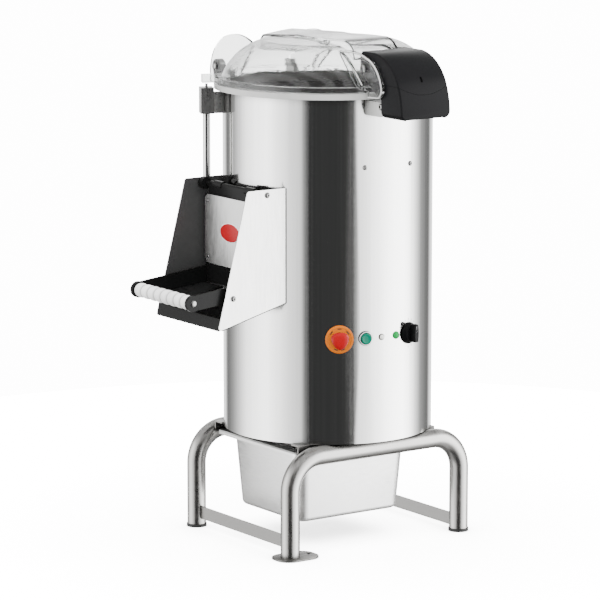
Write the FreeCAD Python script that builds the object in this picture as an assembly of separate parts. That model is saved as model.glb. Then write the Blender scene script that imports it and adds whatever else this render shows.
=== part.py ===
import FreeCAD, Part
import math
import os

os.makedirs("parts", exist_ok=True)

vec = FreeCAD.Vector
UP = vec(0, 0, 1)

# Clearances between pieces, and how far a cutting tool runs past a face
running_gap = 0.05
grip_gap = 0.08
seat_gap = 0.3
weld_gap = 0.1
side_play = 0.5
bolt_hole_gap = 0.3
overcut = 1.0

# Stand: two bent tube arches, flat bars and rails
stand_height = 229.0
tube_radius = 20.0
tube_wall = 2.0
arch_half_span = 217.0
arch_offset = 176.0
arch_bend_radius = 70.0
crossbar_height = 27.0
crossbar_thickness = 4.0
crossbar_left_rise = 19.0
crossbar_right_rise = 7.0
rail_thickness = 3.0
rail_flange_width = 26.0
rail_end_height = 17.0
rail_depth = 31.6
rail_lip_width = 15.0
rail_left_reach = 183.0
rail_right_reach = 167.0
rail_notch_reach = 150.0
anchor_plate_thickness = 4.0
anchor_plate_length = 97.0
anchor_plate_width = 70.0
anchor_plate_corner = 12.0
anchor_plate_shift = 12.5
anchor_hole_radius = 4.5
anchor_hole_shift = 45.0
foot_cap_wall = 1.5
foot_cap_height = 6.5

# Drum
drum_radius = 220.0
wall_panels = 4
drum_wall = 1.5
drum_height = 716.5
base_plate_thickness = 3.0
drain_floor_height = 279.0
drain_floor_thickness = 3.0
lining_thickness = 2.0
lining_top_gap = 15.0
rim_width = 32.0
rim_overhang = 18.0
rim_height = 12.0
rim_bead_width = 8.0
rim_bead_inset = 2.0
rim_bead_height = 0.3
rim_lip_width = 3.5
rim_lip_depth = 10.0
keeper_screw_angle = 15.0
keeper_screw_drop = 141.5
keeper_screw_radius = 6.0
keeper_screw_height = 3.0
keeper_screw_shank = 3.0
keeper_screw_length = 8.0
vent_count = 4
vent_pitch = 25.0
vent_width = 10.0
vent_length = 60.0

# Peel spout and waste pan
spout_width = 56.0
spout_depth = 80.0
spout_offset = 140.0
spout_wall = 2.0
spout_drop = 7.0
pan_length = 325.0
pan_width = 300.0
pan_shift = -21.5
pan_flange_height = 212.0
pan_rim_depth = 11.0
pan_wall = 1.5
pan_body_length = 277.0
pan_body_width = 252.0
pan_floor_length = 255.0
pan_floor_width = 226.0
pan_depth = 158.0
pan_corner = 22.0
pan_flange_corner = 6.0

# Drive
shaft_radius = 12.45
shaft_foot = 16.0
bearing_radius = 26.0
bearing_height = 15.0
housing_wall = 12.0
housing_length = 205.0
housing_flange_radius = 62.0
housing_flange_height = 8.0
housing_bolt_circle = 48.0
housing_bolt_radius = 4.0
housing_bolt_flat = 6.5
housing_bolt_head = 5.3
bearing_inset = 2.0
shaft_floor_gap = 1.5
shaft_past_disc = 6.0
shaft_past_pulley = 4.0
seal_height = 7.0
driven_pulley_radius = 86.0
motor_pulley_radius = 35.0
pulley_height = 24.0
pulley_flange = 4.0
belt_thickness = 3.5
belt_width = 18.0
pulley_rim = 12.0
pulley_web = 12.0
pulley_hub_radius = 28.0
shaft_distance = 130.0
motor_radius = 62.0
motor_height = 140.0
motor_shaft_radius = 9.45
motor_fin_count = 12
motor_fin_depth = 4.0
motor_fin_width = 3.0
motor_cowl = 30.0
terminal_width = 50.0
terminal_reach = 16.0
mount_thickness = 4.0
mount_half_width = 80.0
mount_height = 58.0
contactor_width = 64.0
contactor_depth = 80.0
contactor_height = 90.0
contactor_place = 100.0

# Peeling disc
disc_gap = 6.0
disc_height = 19.0
disc_thickness = 10.0
grit_thickness = 4.0
ridge_radius = 15.0
ridge_count = 3
disc_hub_radius = 30.0
hub_gap = 2.0
disc_nut_radius = 20.0
disc_nut_height = 28.0
paddle_thickness = 6.0
paddle_gap = 4.0
paddle_end_gap = 10.0

# Lid
lid_gap = 0.5
lid_flange_height = 12.0
lid_wall = 4.0
dome_inset = 16.0
dome_shoulder_inset = 104.0
dome_shoulder_rise = 75.0
dome_apex_rise = 85.0
dome_bulge = 14.5
spine_half_width = 56.0
spine_rear_rise = 3.0
spine_ridge_rise = 1.5
spine_side_slope = 0.17
spine_front_slope = 0.08
spine_front_rise = 5.0
spine_run_out = 42.0
ear_thickness = 6.0
front_ear_offset = 67.0
front_ear_reach = 50.0
front_ear_rise = 68.0
front_ear_drop = 20.0
front_ear_root = 98.0
rear_ear_offset = 100.0
rear_ear_reach = 53.0
rear_ear_rise = 75.0
rear_ear_drop = 34.0
rear_ear_root = 111.0
rear_ear_foot_gap = 24.0
hinge_reach = 32.0
hinge_rise = 12.0
hinge_bolt_radius = 5.0
hinge_bolt_head = 8.5
hinge_bolt_head_height = 5.0
bracket_drop = 46.0
bracket_shelf = 12.0
knuckle_radius = 15.5
knuckle_length = 14.0
nub_reach = 28.0
nub_width = 18.0
nub_height = 17.0
nub_rise = 2.0
nub_overlap = 6.0
nub_slot_width = 9.0

# Latch hood
hood_half_width = 62.0
hood_wall = 3.0
hood_pivot_inset = 12.0
hood_pivot_rise = 39.0
hood_screw_radius = 4.0
hood_screw_head = 8.5
hood_screw_head_height = 4.0
hood_screw_past_boss = 12.0
hood_boss_radius = 9.0
hood_boss_length = 8.0
hood_reach = 106.0
hood_rise = 72.0
hood_drop = 58.0
hood_side_reach = 37.0
hood_back_cover = 31.0
hook_offset = 25.0
hook_thickness = 5.0
hook_pin_gap = 0.6
hood_corner = 12.0
keeper_half_width = 57.5
keeper_reach = 55.0
keeper_height = 30.0
keeper_drop = 2.5
keeper_wall = 3.0
keeper_pin_radius = 5.0
keeper_pin_inset = 7.0
keeper_pin_drop = 9.0
latch_wire_radius = 0.9
latch_coils = 5
latch_spring_gap = 2.0

# Discharge chute
cheek_offset = 117.0
cheek_thickness = 2.0
chute_top_rise = 11.2
chute_sill_drop = 22.0
chute_front_drop = 47.0
chute_top_reach = 61.0
chute_front_reach = 134.0
chute_lip_height = 26.5
chute_floor_thickness = 2.0
cheek_corner = 6.0
outlet_half_width = 98.0
outlet_gap = 7.0
outlet_height = 172.0
frame_border = 10.0
frame_reach = 11.0
seal_thickness = 3.2

# Discharge door, its lever and handle
door_pivot_reach = 12.8
door_pivot_rise = 30.3
door_bar_radius = 6.0
door_bar_bolt_radius = 4.0
door_bar_bolt_depth = 16.0
door_bar_bore_depth = 20.0
cheek_bolt_head = 6.0
cheek_bolt_head_height = 3.5
guide_pad_radius = 7.0
door_eye_wall = 3.0
door_eye_width = 30.0
door_eye_share = 0.55
door_top_drop = 22.3
door_half_width = 108.0
door_plate_height = 145.0
door_plate_thickness = 1.5
door_plate_corner = 9.0
rivet_radius = 3.5
rivet_height = 1.6
rivet_lift = 0.2
rivet_side_inset = 10.0
rivet_end_inset = 14.0
yoke_half_width = 105.0
yoke_thickness = 4.0
yoke_back_thickness = 2.0
yoke_back_drop = 40.0
arm_height = 34.0
handle_reach = 173.2
handle_drop = 208.3
handle_boss_radius = 17.0
handle_boss_length = 8.0
handle_boss_proud = 2.0
handle_screw_radius = 7.0
handle_screw_height = 2.6
handle_rod_radius = 5.0
grip_radius = 15.0
grip_rings = 8
grip_groove = 1.2
guide_reach = 83.7
guide_drop = 205.6
cam_radius = 12.5
cam_eccentricity = 5.0
cam_length = 14.0

# Interlock rod
rod_radius = 7.75
rod_offset = 106.8
rod_pin_radius = 3.0
rod_travel = 6.5
block_width = 33.0
block_depth = 27.0
block_height = 54.0
block_rise = 4.5
rod_shoulder_drop = 25.0
rod_pin_gap = 0.5
bracket_width = 18.0

# Controls, on radial axes of the drum
control_height = 221.0
control_pitch = 9.6
stop_angle = -28.8
stop_collar_radius = 29.5
stop_head_radius = 19.5
stop_stem_radius = 8.0
stop_collar_hole = 11.0
stop_collar_height = 3.5
stop_head_height = 13.0
stop_head_gap = 4.5
stop_neck_step = 2.0
stop_travel = 5.0
start_bezel_radius = 15.0
start_button_radius = 11.0
start_bezel_height = 4.5
start_button_gap = 0.4
start_button_rise = 8.5
start_plunger_radius = 4.0
start_travel = 4.0
white_lamp_radius = 6.5
green_lamp_radius = 7.5
lamp_barrel_radius = 4.7
lamp_depth = 14.0
lamp_rim_height = 2.0
lamp_rise = 5.2
knob_radius = 22.5
knob_height = 18.0
knob_shaft_radius = 3.0
knob_lift = 1.0
knob_skirt = 6.0
knob_bevel = 2.5
knob_bar_width = 10.0
knob_shaft_reach = 12.0
switch_depth = 45.0
switch_height = 44.0
barrel_depth = 6.0
stop_block_width = 30.0
start_block_width = 28.0
timer_block_width = 44.0

# Rear services
gland_angle = 180.0
gland_height = 45.0
gland_radius = 12.0
gland_stub_radius = 8.0
gland_cap_radius = 10.5
gland_bore = 4.5
gland_nut_height = 8.0
gland_length = 22.0
gland_depth = 14.0
inlet_angle = 180.0
inlet_drop = 76.5
inlet_radius = 10.5
inlet_bore = 8.0
inlet_length = 32.0
inlet_depth = 12.0
inlet_flange_radius = 18.5
inlet_flange_start = 1.5
inlet_flange_end = 5.0

# Levels and places that follow from the sizes above
drum_bottom = stand_height
drum_inside = drum_radius - drum_wall
drum_top = drum_bottom + drum_height
rim_radius = drum_radius + rim_overhang
rim_inside = rim_radius - rim_width
rim_top = drum_top + rim_height
lid_bottom = rim_top + lid_gap
lid_top = lid_bottom + lid_flange_height
arch_axis = stand_height - side_play - tube_radius
leg_foot = anchor_plate_thickness
rail_face = arch_offset - tube_radius - weld_gap
drain_floor = drum_bottom + drain_floor_height
drain_top = drain_floor + drain_floor_thickness
base_top = drum_bottom + base_plate_thickness
disc_bottom = drain_floor + disc_height
disc_top = disc_bottom + disc_thickness
grit_top = disc_top + grit_thickness
shaft_top = grit_top + shaft_past_disc
nut_top = disc_top + disc_nut_height
disc_radius = drum_inside - lining_thickness - disc_gap - seat_gap
shaft_bore = shaft_radius + running_gap
housing_foot = drain_floor - housing_length
pulley_bottom = base_top + shaft_foot
pulley_top = pulley_bottom + pulley_height
mount_top = base_top + mount_height
hinge_y = rim_radius + hinge_reach
hinge_z = lid_bottom + hinge_rise
hood_pivot_y = -(rim_radius - hood_pivot_inset)
hood_pivot_z = lid_top + hood_pivot_rise
keeper_pin_y = -(drum_radius + keeper_reach - keeper_pin_inset)
keeper_top = drum_top - keeper_drop
keeper_pin_z = keeper_top - keeper_pin_drop
outlet_floor = grit_top + outlet_gap
outlet_ceiling = outlet_floor + outlet_height
chute_sill = outlet_floor - chute_sill_drop
chute_front = chute_sill - chute_front_drop
frame_face = drum_radius + frame_reach
yoke_back = frame_face + seal_thickness + seat_gap
yoke_front = yoke_back + yoke_back_thickness
door_front = yoke_front + door_plate_thickness
door_pivot_x = -(drum_radius + door_pivot_reach)
door_pivot_z = outlet_ceiling + door_pivot_rise
chute_top = door_pivot_z + chute_top_rise
handle_x = door_pivot_x - handle_reach
handle_z = door_pivot_z - handle_drop
guide_x = door_pivot_x - guide_reach
guide_z = door_pivot_z - guide_drop
door_top = door_pivot_z - door_top_drop
door_bottom = door_top - door_plate_height
rod_bottom = door_pivot_z + cam_radius + seat_gap
block_top = drum_top + block_rise
rod_shoulder = block_top - rod_shoulder_drop
block_bottom = block_top - block_height
rod_line = math.hypot(door_pivot_x, rod_offset)
control_z = drum_bottom + control_height
gland_z = drum_bottom + gland_height
inlet_z = drum_top - inlet_drop
start_angle = stop_angle + 1.5 * control_pitch
white_lamp_angle = start_angle + control_pitch
green_lamp_angle = white_lamp_angle + control_pitch
knob_angle = green_lamp_angle + control_pitch
stop_hole = stop_collar_hole
start_hole = start_button_radius + 2 * start_button_gap
lamp_hole = lamp_barrel_radius + seat_gap
knob_hole = knob_shaft_radius + 2.0
gland_hole = gland_stub_radius + bolt_hole_gap
inlet_hole = inlet_radius + seat_gap
screw_hole = keeper_screw_shank + bolt_hole_gap
screw_z = drum_top - keeper_screw_drop


def box(x0, x1, y0, y1, z0, z1):
    return Part.makeBox(x1 - x0, y1 - y0, z1 - z0, vec(x0, y0, z0))


def cylinder(radius, z0, z1, x=0.0, y=0.0):
    return Part.makeCylinder(radius, z1 - z0, vec(x, y, z0), UP)


def ring(outer, inner, z0, z1, x=0.0, y=0.0):
    return cylinder(outer, z0, z1, x, y).cut(cylinder(inner, z0 - 1, z1 + 1, x, y))


def rod_along_x(radius, x0, x1, y, z):
    return Part.makeCylinder(radius, x1 - x0, vec(x0, y, z), vec(1, 0, 0))


def rod_along_y(radius, y0, y1, x, z):
    return Part.makeCylinder(radius, y1 - y0, vec(x, y0, z), vec(0, 1, 0))


def fuse(first, *others):
    return first.fuse(list(others)).removeSplitter() if others else first


def cut(shape, *tools):
    return shape.cut(list(tools)) if tools else shape


def outline(place, start, *steps):
    """Closed face: a step is a line's end, or an arc's middle and end."""
    edges = []
    here = start
    for step in steps:
        if isinstance(step[0], tuple):
            middle, end = step
            edges.append(Part.Arc(place(*here), place(*middle), place(*end)).toShape())
        else:
            end = step
            edges.append(Part.makeLine(place(*here), place(*end)))
        here = end
    if math.dist(here, start) > 1e-6:
        edges.append(Part.makeLine(place(*here), place(*start)))
    return Part.Face(Part.Wire(edges))


def prism_x(x0, x1, start, *steps):
    face = outline(lambda y, z: vec(x0, y, z), start, *steps)
    return face.extrude(vec(x1 - x0, 0, 0))


def prism_y(y0, y1, start, *steps):
    face = outline(lambda x, z: vec(x, y0, z), start, *steps)
    return face.extrude(vec(0, y1 - y0, 0))


def prism_z(z0, z1, start, *steps):
    face = outline(lambda x, y: vec(x, y, z0), start, *steps)
    return face.extrude(vec(0, 0, z1 - z0))


def turned(start, *steps):
    """Solid of revolution about the drum axis from a radius and height outline."""
    face = outline(lambda r, z: vec(r, 0, z), start, *steps)
    return face.revolve(vec(0, 0, 0), UP, 360)


def rounded_plate(x0, x1, y0, y1, z0, z1, corner):
    plate = box(x0, x1, y0, y1, z0, z1)
    upright = [e for e in plate.Edges if abs(e.tangentAt(e.FirstParameter).z) > 0.9]
    return plate.makeFillet(corner, upright)


def mirrored_y(shape):
    return shape.mirror(vec(0, 0, 0), vec(0, 1, 0))


def mirrored_x(shape):
    return shape.mirror(vec(0, 0, 0), vec(1, 0, 0))


def radial(shape, angle, z, reach=0.0):
    """Turn a shape drawn along +Z outward from the drum at an angle from the front."""
    a = math.radians(angle)
    outward = vec(math.sin(a), -math.cos(a), 0)
    side = vec(math.cos(a), math.sin(a), 0)
    turn = FreeCAD.Rotation(side, UP, outward, "ZYX")
    place = outward * (drum_radius + reach) + vec(0, 0, z)
    turned_shape = shape.copy()
    turned_shape.Placement = FreeCAD.Placement(place, turn).multiply(shape.Placement)
    return turned_shape


def clear_of_drum(shape):
    return shape.cut(cylinder(drum_radius + seat_gap, 0, 2 * drum_top))


def save(node, *shapes):
    solids = [solid for shape in shapes for solid in shape.Solids]
    body = solids[0] if len(solids) == 1 else Part.makeCompound(solids)
    body.exportStep(f"parts/{node}.step")


def arch(y):
    turn = arch_bend_radius * (1 - math.cos(math.radians(45)))
    low = arch_axis - arch_bend_radius
    inner = arch_half_span - arch_bend_radius
    foot = vec(-arch_half_span, y, leg_foot)
    spine = Part.Wire([
        Part.makeLine(foot, vec(-arch_half_span, y, low)),
        Part.Arc(
            vec(-arch_half_span, y, low),
            vec(-arch_half_span + turn, y, arch_axis - turn),
            vec(-inner, y, arch_axis),
        ).toShape(),
        Part.makeLine(vec(-inner, y, arch_axis), vec(inner, y, arch_axis)),
        Part.Arc(
            vec(inner, y, arch_axis),
            vec(arch_half_span - turn, y, arch_axis - turn),
            vec(arch_half_span, y, low),
        ).toShape(),
        Part.makeLine(vec(arch_half_span, y, low), vec(arch_half_span, y, leg_foot)),
    ])
    outer = Part.Wire(Part.makeCircle(tube_radius, foot, UP))
    bore = Part.Wire(Part.makeCircle(tube_radius - tube_wall, foot, UP))
    pipe = spine.makePipeShell([outer], True, False)
    return pipe.cut(spine.makePipeShell([bore], True, False))


def crossbar(x, rise):
    half = crossbar_thickness / 2
    end = arch_offset - tube_radius - weld_gap
    return box(x - half, x + half, -end, end, rise, rise + crossbar_height)


def rail():
    """Channel beside the rear arch: the drum stands on it, the pan hangs in it."""
    top = stand_height
    low = top - rail_depth
    web = rail_face - rail_thickness
    section = prism_x(
        -rail_left_reach, rail_right_reach,
        (rail_face, top),
        (rail_face - rail_flange_width, top),
        (rail_face - rail_flange_width, top - rail_thickness),
        (web, top - rail_thickness),
        (web, low + rail_thickness),
        (rail_face - rail_lip_width, low + rail_thickness),
        (rail_face - rail_lip_width, low),
        (rail_face, low),
    )
    end_low = top - rail_end_height
    notches = [
        box(-rail_left_reach - overcut, -rail_notch_reach, 0, rail_face + overcut,
            low - overcut, end_low),
        box(rail_notch_reach, rail_right_reach + overcut, 0, rail_face + overcut,
            low - overcut, end_low),
    ]
    return cut(section, *notches)


def anchor_plate():
    """Plate under the front left leg, longer toward the middle, with its floor bolt hole."""
    middle = -arch_half_span + anchor_plate_shift
    plate = rounded_plate(
        middle - anchor_plate_length / 2, middle + anchor_plate_length / 2,
        -arch_offset - anchor_plate_width / 2, -arch_offset + anchor_plate_width / 2,
        0, anchor_plate_thickness, anchor_plate_corner,
    )
    hole_x = -arch_half_span + anchor_hole_shift
    return plate.cut(cylinder(anchor_hole_radius, -overcut, leg_foot + overcut, hole_x, -arch_offset))


def foot_cap(x, y):
    outer = cylinder(tube_radius + foot_cap_wall, 0, foot_cap_height, x, y)
    pocket = cylinder(tube_radius + running_gap, leg_foot, foot_cap_height + overcut, x, y)
    return outer.cut(pocket)


def outlet_space(x_far, x_near, extra=0.0):
    half = outlet_half_width + extra
    return box(x_far, x_near, -half, half, outlet_floor - extra, outlet_ceiling + extra)


def wall_hole(radius, angle, z):
    depth = drum_wall + lining_thickness + 2 * seat_gap + overcut
    return radial(cylinder(radius, -depth, seat_gap + overcut), angle, z)


def screw_holes():
    return [wall_hole(screw_hole, side * keeper_screw_angle, screw_z) for side in (-1, 1)]


def wall_panel(wall, middle):
    """One rolled panel of the drum wall, between two upright weld seams."""
    sector = 360 / wall_panels
    wedge = Part.makeCylinder(rim_radius, drum_top, vec(0, 0, 0), UP, sector)
    wedge.rotate(vec(0, 0, 0), UP, middle - sector / 2)
    return wall.common(wedge)


def drum_shell():
    """Drum wall as rolled panels, with the outlet in the left panel."""
    shell = ring(drum_radius, drum_inside, drum_bottom, drum_top)
    tools = [
        outlet_space(-drum_radius - overcut, -drum_radius / 2),
        wall_hole(stop_hole, stop_angle, control_z),
        wall_hole(start_hole, start_angle, control_z),
        wall_hole(lamp_hole, white_lamp_angle, control_z),
        wall_hole(lamp_hole, green_lamp_angle, control_z),
        wall_hole(knob_hole, knob_angle, control_z),
        wall_hole(gland_hole, gland_angle, gland_z),
        wall_hole(inlet_hole, inlet_angle, inlet_z),
    ]
    wall = cut(shell, *tools, *screw_holes())
    return Part.makeCompound([wall_panel(wall, 360 / wall_panels * i) for i in range(wall_panels)])


def base_plate():
    plate = cylinder(drum_inside - seat_gap, drum_bottom, base_top)
    low = drum_bottom - overcut
    high = base_top + overcut
    vents = []
    for i in range(vent_count):
        x = drum_radius / 5 + i * vent_pitch
        y = -drum_radius / 2
        vents.append(rounded_plate(x, x + vent_width, y, y + vent_length, low, high,
                                   vent_width * 0.49))
    return cut(plate, spout_box(spout_wall + seat_gap, low, high), *vents)


def spout_box(extra, z0, z1):
    half_x = spout_width / 2 - spout_wall + extra
    half_y = spout_depth / 2 - spout_wall + extra
    return box(-spout_offset - half_x, -spout_offset + half_x, -half_y, half_y, z0, z1)


def drain_spout():
    top = drain_floor
    low = drum_bottom - spout_drop
    return spout_box(spout_wall, low, top).cut(spout_box(0, low - overcut, top + overcut))


def drain_floor_plate():
    plate = cylinder(drum_inside - seat_gap, drain_floor, drain_top)
    tools = [
        cylinder(shaft_radius + shaft_floor_gap, drain_floor - overcut, drain_top + overcut),
        spout_box(0, drain_floor - overcut, drain_top + overcut),
    ]
    for x, y in housing_bolt_places():
        tools.append(bolt_hole(drain_floor, drain_top, x, y))
    return fuse(cut(plate, *tools), drain_spout())


def housing_bolt_places():
    places = []
    for i in range(4):
        a = math.radians(45 + 90 * i)
        places.append((housing_bolt_circle * math.cos(a), housing_bolt_circle * math.sin(a)))
    return places


def bolt_hole(z0, z1, x, y):
    return cylinder(housing_bolt_radius + bolt_hole_gap, z0 - overcut, z1 + overcut, x, y)


def bearing_housing():
    flange_low = drain_floor - housing_flange_height
    body = fuse(
        cylinder(bearing_radius + housing_wall, housing_foot, drain_floor),
        cylinder(housing_flange_radius, flange_low, drain_floor),
    )
    tools = [cylinder(bearing_radius + running_gap, housing_foot - overcut, drain_floor + overcut)]
    for x, y in housing_bolt_places():
        tools.append(bolt_hole(flange_low, drain_floor, x, y))
    return cut(body, *tools)


def housing_bolts():
    bolts = []
    flange_low = drain_floor - housing_flange_height
    for x, y in housing_bolt_places():
        head = hexagon(housing_bolt_flat, flange_low - housing_bolt_head, flange_low, x, y)
        bolts.append(fuse(head, cylinder(housing_bolt_radius, flange_low, drain_top, x, y)))
    return bolts


def hexagon(flat_radius, z0, z1, x=0.0, y=0.0):
    corners = []
    for i in range(6):
        a = math.radians(60 * i)
        r = flat_radius / math.cos(math.radians(30))
        corners.append((x + r * math.cos(a), y + r * math.sin(a)))
    return prism_z(z0, z1, *corners)


def bearings():
    low = housing_foot + bearing_inset
    high = drain_floor - bearing_height - bearing_inset
    return [
        ring(bearing_radius, shaft_bore, z, z + bearing_height)
        for z in (low, high)
    ]


def shaft_seal():
    return ring(bearing_radius, shaft_bore, drain_top, drain_top + seal_height)


def drive_shaft():
    return cylinder(shaft_radius, pulley_bottom - shaft_past_pulley, shaft_top)


def pulley(radius, bore, x, y):
    rim = cylinder(radius, pulley_bottom, pulley_top, x, y)
    flange = radius + pulley_flange
    side = (pulley_height - belt_width - 2 * seat_gap) / 2
    low = cylinder(flange, pulley_bottom, pulley_bottom + side, x, y)
    high = cylinder(flange, pulley_top - side, pulley_top, x, y)
    body = fuse(rim, low, high)
    return body.cut(cylinder(bore, pulley_bottom - overcut, pulley_top + overcut, x, y))


def driven_pulley():
    wheel = pulley(driven_pulley_radius, shaft_bore, 0, 0)
    groove = ring(driven_pulley_radius - pulley_rim, pulley_hub_radius,
                  pulley_bottom + pulley_web, pulley_top + overcut)
    return wheel.cut(groove)


def loop_face(r1, r2, z):
    """Outline round two circles a shaft distance apart along Y."""
    lean = (r1 - r2) / shaft_distance
    flat = math.sqrt(1 - lean * lean)
    start = (r1 * flat, r1 * lean)
    end = (r2 * flat, shaft_distance + r2 * lean)
    return outline(
        lambda x, y: vec(x, y, z),
        start, end,
        ((0, shaft_distance + r2), (-end[0], end[1])),
        (-start[0], start[1]),
        ((0, -r1), start),
    )


def drive_belt():
    low = (pulley_bottom + pulley_top - belt_width) / 2
    inside = seat_gap
    outside = seat_gap + belt_thickness
    outer = loop_face(driven_pulley_radius + outside, motor_pulley_radius + outside, low)
    inner = loop_face(driven_pulley_radius + inside, motor_pulley_radius + inside, low)
    lift = vec(0, 0, belt_width)
    return outer.extrude(lift).cut(inner.extrude(lift))


def motor_pulley():
    return pulley(motor_pulley_radius, motor_shaft_radius + running_gap, 0, shaft_distance)


def motor_shaft():
    low = pulley_bottom - shaft_past_pulley / 2
    return cylinder(motor_shaft_radius, low, mount_top - weld_gap, 0, shaft_distance)


def motor_body():
    top = mount_top + motor_height
    y = shaft_distance
    core_radius = motor_radius - motor_fin_depth
    core = cylinder(core_radius, mount_top, top, 0, y)
    fins = []
    fin_pitch = (motor_height - motor_cowl) / (motor_fin_count + 1)
    for i in range(motor_fin_count):
        z = mount_top + i * fin_pitch
        fins.append(cylinder(motor_radius, z, z + motor_fin_width, 0, y))
    cowl = cylinder(motor_radius, top - motor_cowl, top, 0, y)
    half = terminal_width / 2
    terminal = box(core_radius / 2, motor_radius + terminal_reach, y - half, y + half,
                   top - motor_cowl - terminal_width, top - motor_cowl)
    return fuse(core, cowl, terminal, *fins)


def motor_mount():
    """Bridge that carries the motor with its pulley beneath."""
    y0 = shaft_distance - motor_radius - overcut
    y1 = shaft_distance + motor_radius + overcut
    top = box(-mount_half_width, mount_half_width, y0, y1, mount_top - mount_thickness, mount_top)
    wall = mount_half_width - mount_thickness
    right = box(wall, mount_half_width, y0, y1, base_top, mount_top)
    left = box(-mount_half_width, -wall, y0, y1, base_top, mount_top)
    bridge = fuse(top, left, right)
    bridge = bridge.common(cylinder(drum_inside - seat_gap, base_top, mount_top))
    low = mount_top - mount_thickness - 1
    hole = motor_shaft_radius + shaft_floor_gap
    return bridge.cut(cylinder(hole, low, mount_top + overcut, 0, shaft_distance))


def contactor_box():
    x = contactor_place
    half = contactor_depth / 2
    return rounded_plate(x, x + contactor_width, -half, half,
                         base_top, base_top + contactor_height, 4.0)


def peeling_disc():
    hub_low = drain_top + seal_height + hub_gap
    body = fuse(
        cylinder(disc_radius, disc_bottom, disc_top),
        cylinder(disc_hub_radius, hub_low, disc_top),
    )
    half = paddle_thickness / 2
    for angle in (90, 270):
        blade = box(bearing_radius + side_play, disc_radius - paddle_end_gap, -half, half,
                    drain_top + paddle_gap, disc_top - overcut)
        blade.rotate(vec(0, 0, 0), UP, angle)
        body = body.fuse(blade)
    body = body.removeSplitter()
    return body.cut(cylinder(shaft_bore, hub_low - overcut, disc_top + overcut))


def disc_grit():
    layer = cylinder(disc_radius, disc_top, grit_top)
    inner = disc_nut_radius + ridge_radius
    outer = disc_radius - ridge_radius / 2
    ridge_z = disc_top - ridge_radius / 4
    for i in range(ridge_count):
        ridge = rod_along_x(ridge_radius, inner, outer, 0, ridge_z)
        ridge = ridge.cut(box(0, disc_radius, -ridge_radius, ridge_radius,
                              disc_top - 2 * ridge_radius, disc_top))
        ridge.rotate(vec(0, 0, 0), UP, 360 / ridge_count * i)
        layer = layer.fuse(ridge)
    layer = layer.removeSplitter()
    hole = disc_nut_radius + side_play
    return layer.cut(cylinder(hole, disc_top - overcut, grit_top + ridge_radius))


def disc_nut():
    r = disc_nut_radius
    domed = turned(
        (0, disc_top), (r, disc_top), (r, nut_top - r * 0.6),
        ((r * 0.8, nut_top - r * 0.2), (r * 0.2, nut_top)),
        (0, nut_top),
    )
    return domed.cut(cylinder(shaft_bore, disc_top - overcut, shaft_top + side_play))


def abrasive_lining():
    outer = drum_inside - seat_gap
    sleeve = ring(outer, outer - lining_thickness, grit_top, drum_top - lining_top_gap)
    inset = box(-drum_radius, -drum_radius / 2, -outlet_half_width, outlet_half_width,
                grit_top - overcut, outlet_ceiling)
    inlet = wall_hole(inlet_hole, inlet_angle, inlet_z)
    return cut(sleeve, inset, inlet, *screw_holes())


def drum_rim():
    """Rubber rim on the drum's edge, with a locating lip and a sealing bead."""
    body = ring(rim_radius, rim_inside, drum_top, rim_top)
    lip_outer = drum_inside - seat_gap
    lip = ring(lip_outer, lip_outer - rim_lip_width, drum_top - rim_lip_depth, drum_top + overcut)
    bead_inside = drum_radius + rim_bead_inset
    bead = ring(bead_inside + rim_bead_width, bead_inside, drum_top, rim_top + rim_bead_height)
    return fuse(body, lip, bead)


def drum_screws():
    screw = domed_bolt(keeper_screw_radius, keeper_screw_height,
                       keeper_screw_shank, keeper_screw_length)
    return [radial(screw, side * keeper_screw_angle, screw_z, seat_gap) for side in (-1, 1)]


def domed_bolt(head_radius, head_height, shank_radius, shank_length):
    """Round-headed bolt along +Z, its head's seat at the origin."""
    face = outline(
        lambda r, z: vec(r, 0, z),
        (0, -shank_length), (shank_radius, -shank_length), (shank_radius, 0),
        (head_radius, 0), (head_radius, head_height * 0.25),
        ((head_radius * 0.7, head_height * 0.78), (head_radius * 0.15, head_height)),
        (0, head_height),
    )
    return face.revolve(vec(0, 0, 0), UP, 360)


def bolt_along(bolt, place, direction):
    """Move a bolt drawn along +Z so that its head points along a direction."""
    turn = FreeCAD.Rotation(UP, direction)
    moved = bolt.copy()
    moved.Placement = FreeCAD.Placement(place, turn)
    return moved


def dome(shrink):
    """Filled dome under the lid's skin; shrink is the depth under the outer skin."""
    foot = rim_radius - dome_inset - shrink
    shoulder = rim_radius - dome_shoulder_inset - shrink * 0.6
    shoulder_z = lid_top + dome_shoulder_rise - shrink
    apex = lid_top + dome_apex_rise - shrink
    chord = math.hypot(foot - shoulder, shoulder_z - lid_top)
    mid_r = (foot + shoulder) / 2 + dome_bulge * (shoulder_z - lid_top) / chord
    mid_z = (lid_top + shoulder_z) / 2 + dome_bulge * (foot - shoulder) / chord
    low = lid_bottom - (1 if shrink else 0)
    return turned(
        (0, low), (foot, low), (foot, lid_top),
        ((mid_r, mid_z), (shoulder, shoulder_z)),
        (0, apex),
    )


def rear_hip(shrink):
    """Space above the slope that falls from the band's rear ridge to its right side."""
    half = spine_half_width + spine_run_out / 2
    y0 = rim_radius - dome_shoulder_inset
    ridge = lid_top + dome_apex_rise + spine_ridge_rise - shrink
    y1 = -y0 / 2
    y2 = y0 + 2 * spine_run_out
    corners = [
        vec(x, y, ridge - spine_side_slope * x + spine_front_slope * (y0 - y))
        for x, y in ((-overcut, y1), (half, y1), (half, y2), (-overcut, y2))
    ]
    slope = Part.Face(Part.makePolygon(corners + corners[:1]))
    return slope.extrude(UP * dome_apex_rise)


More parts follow.
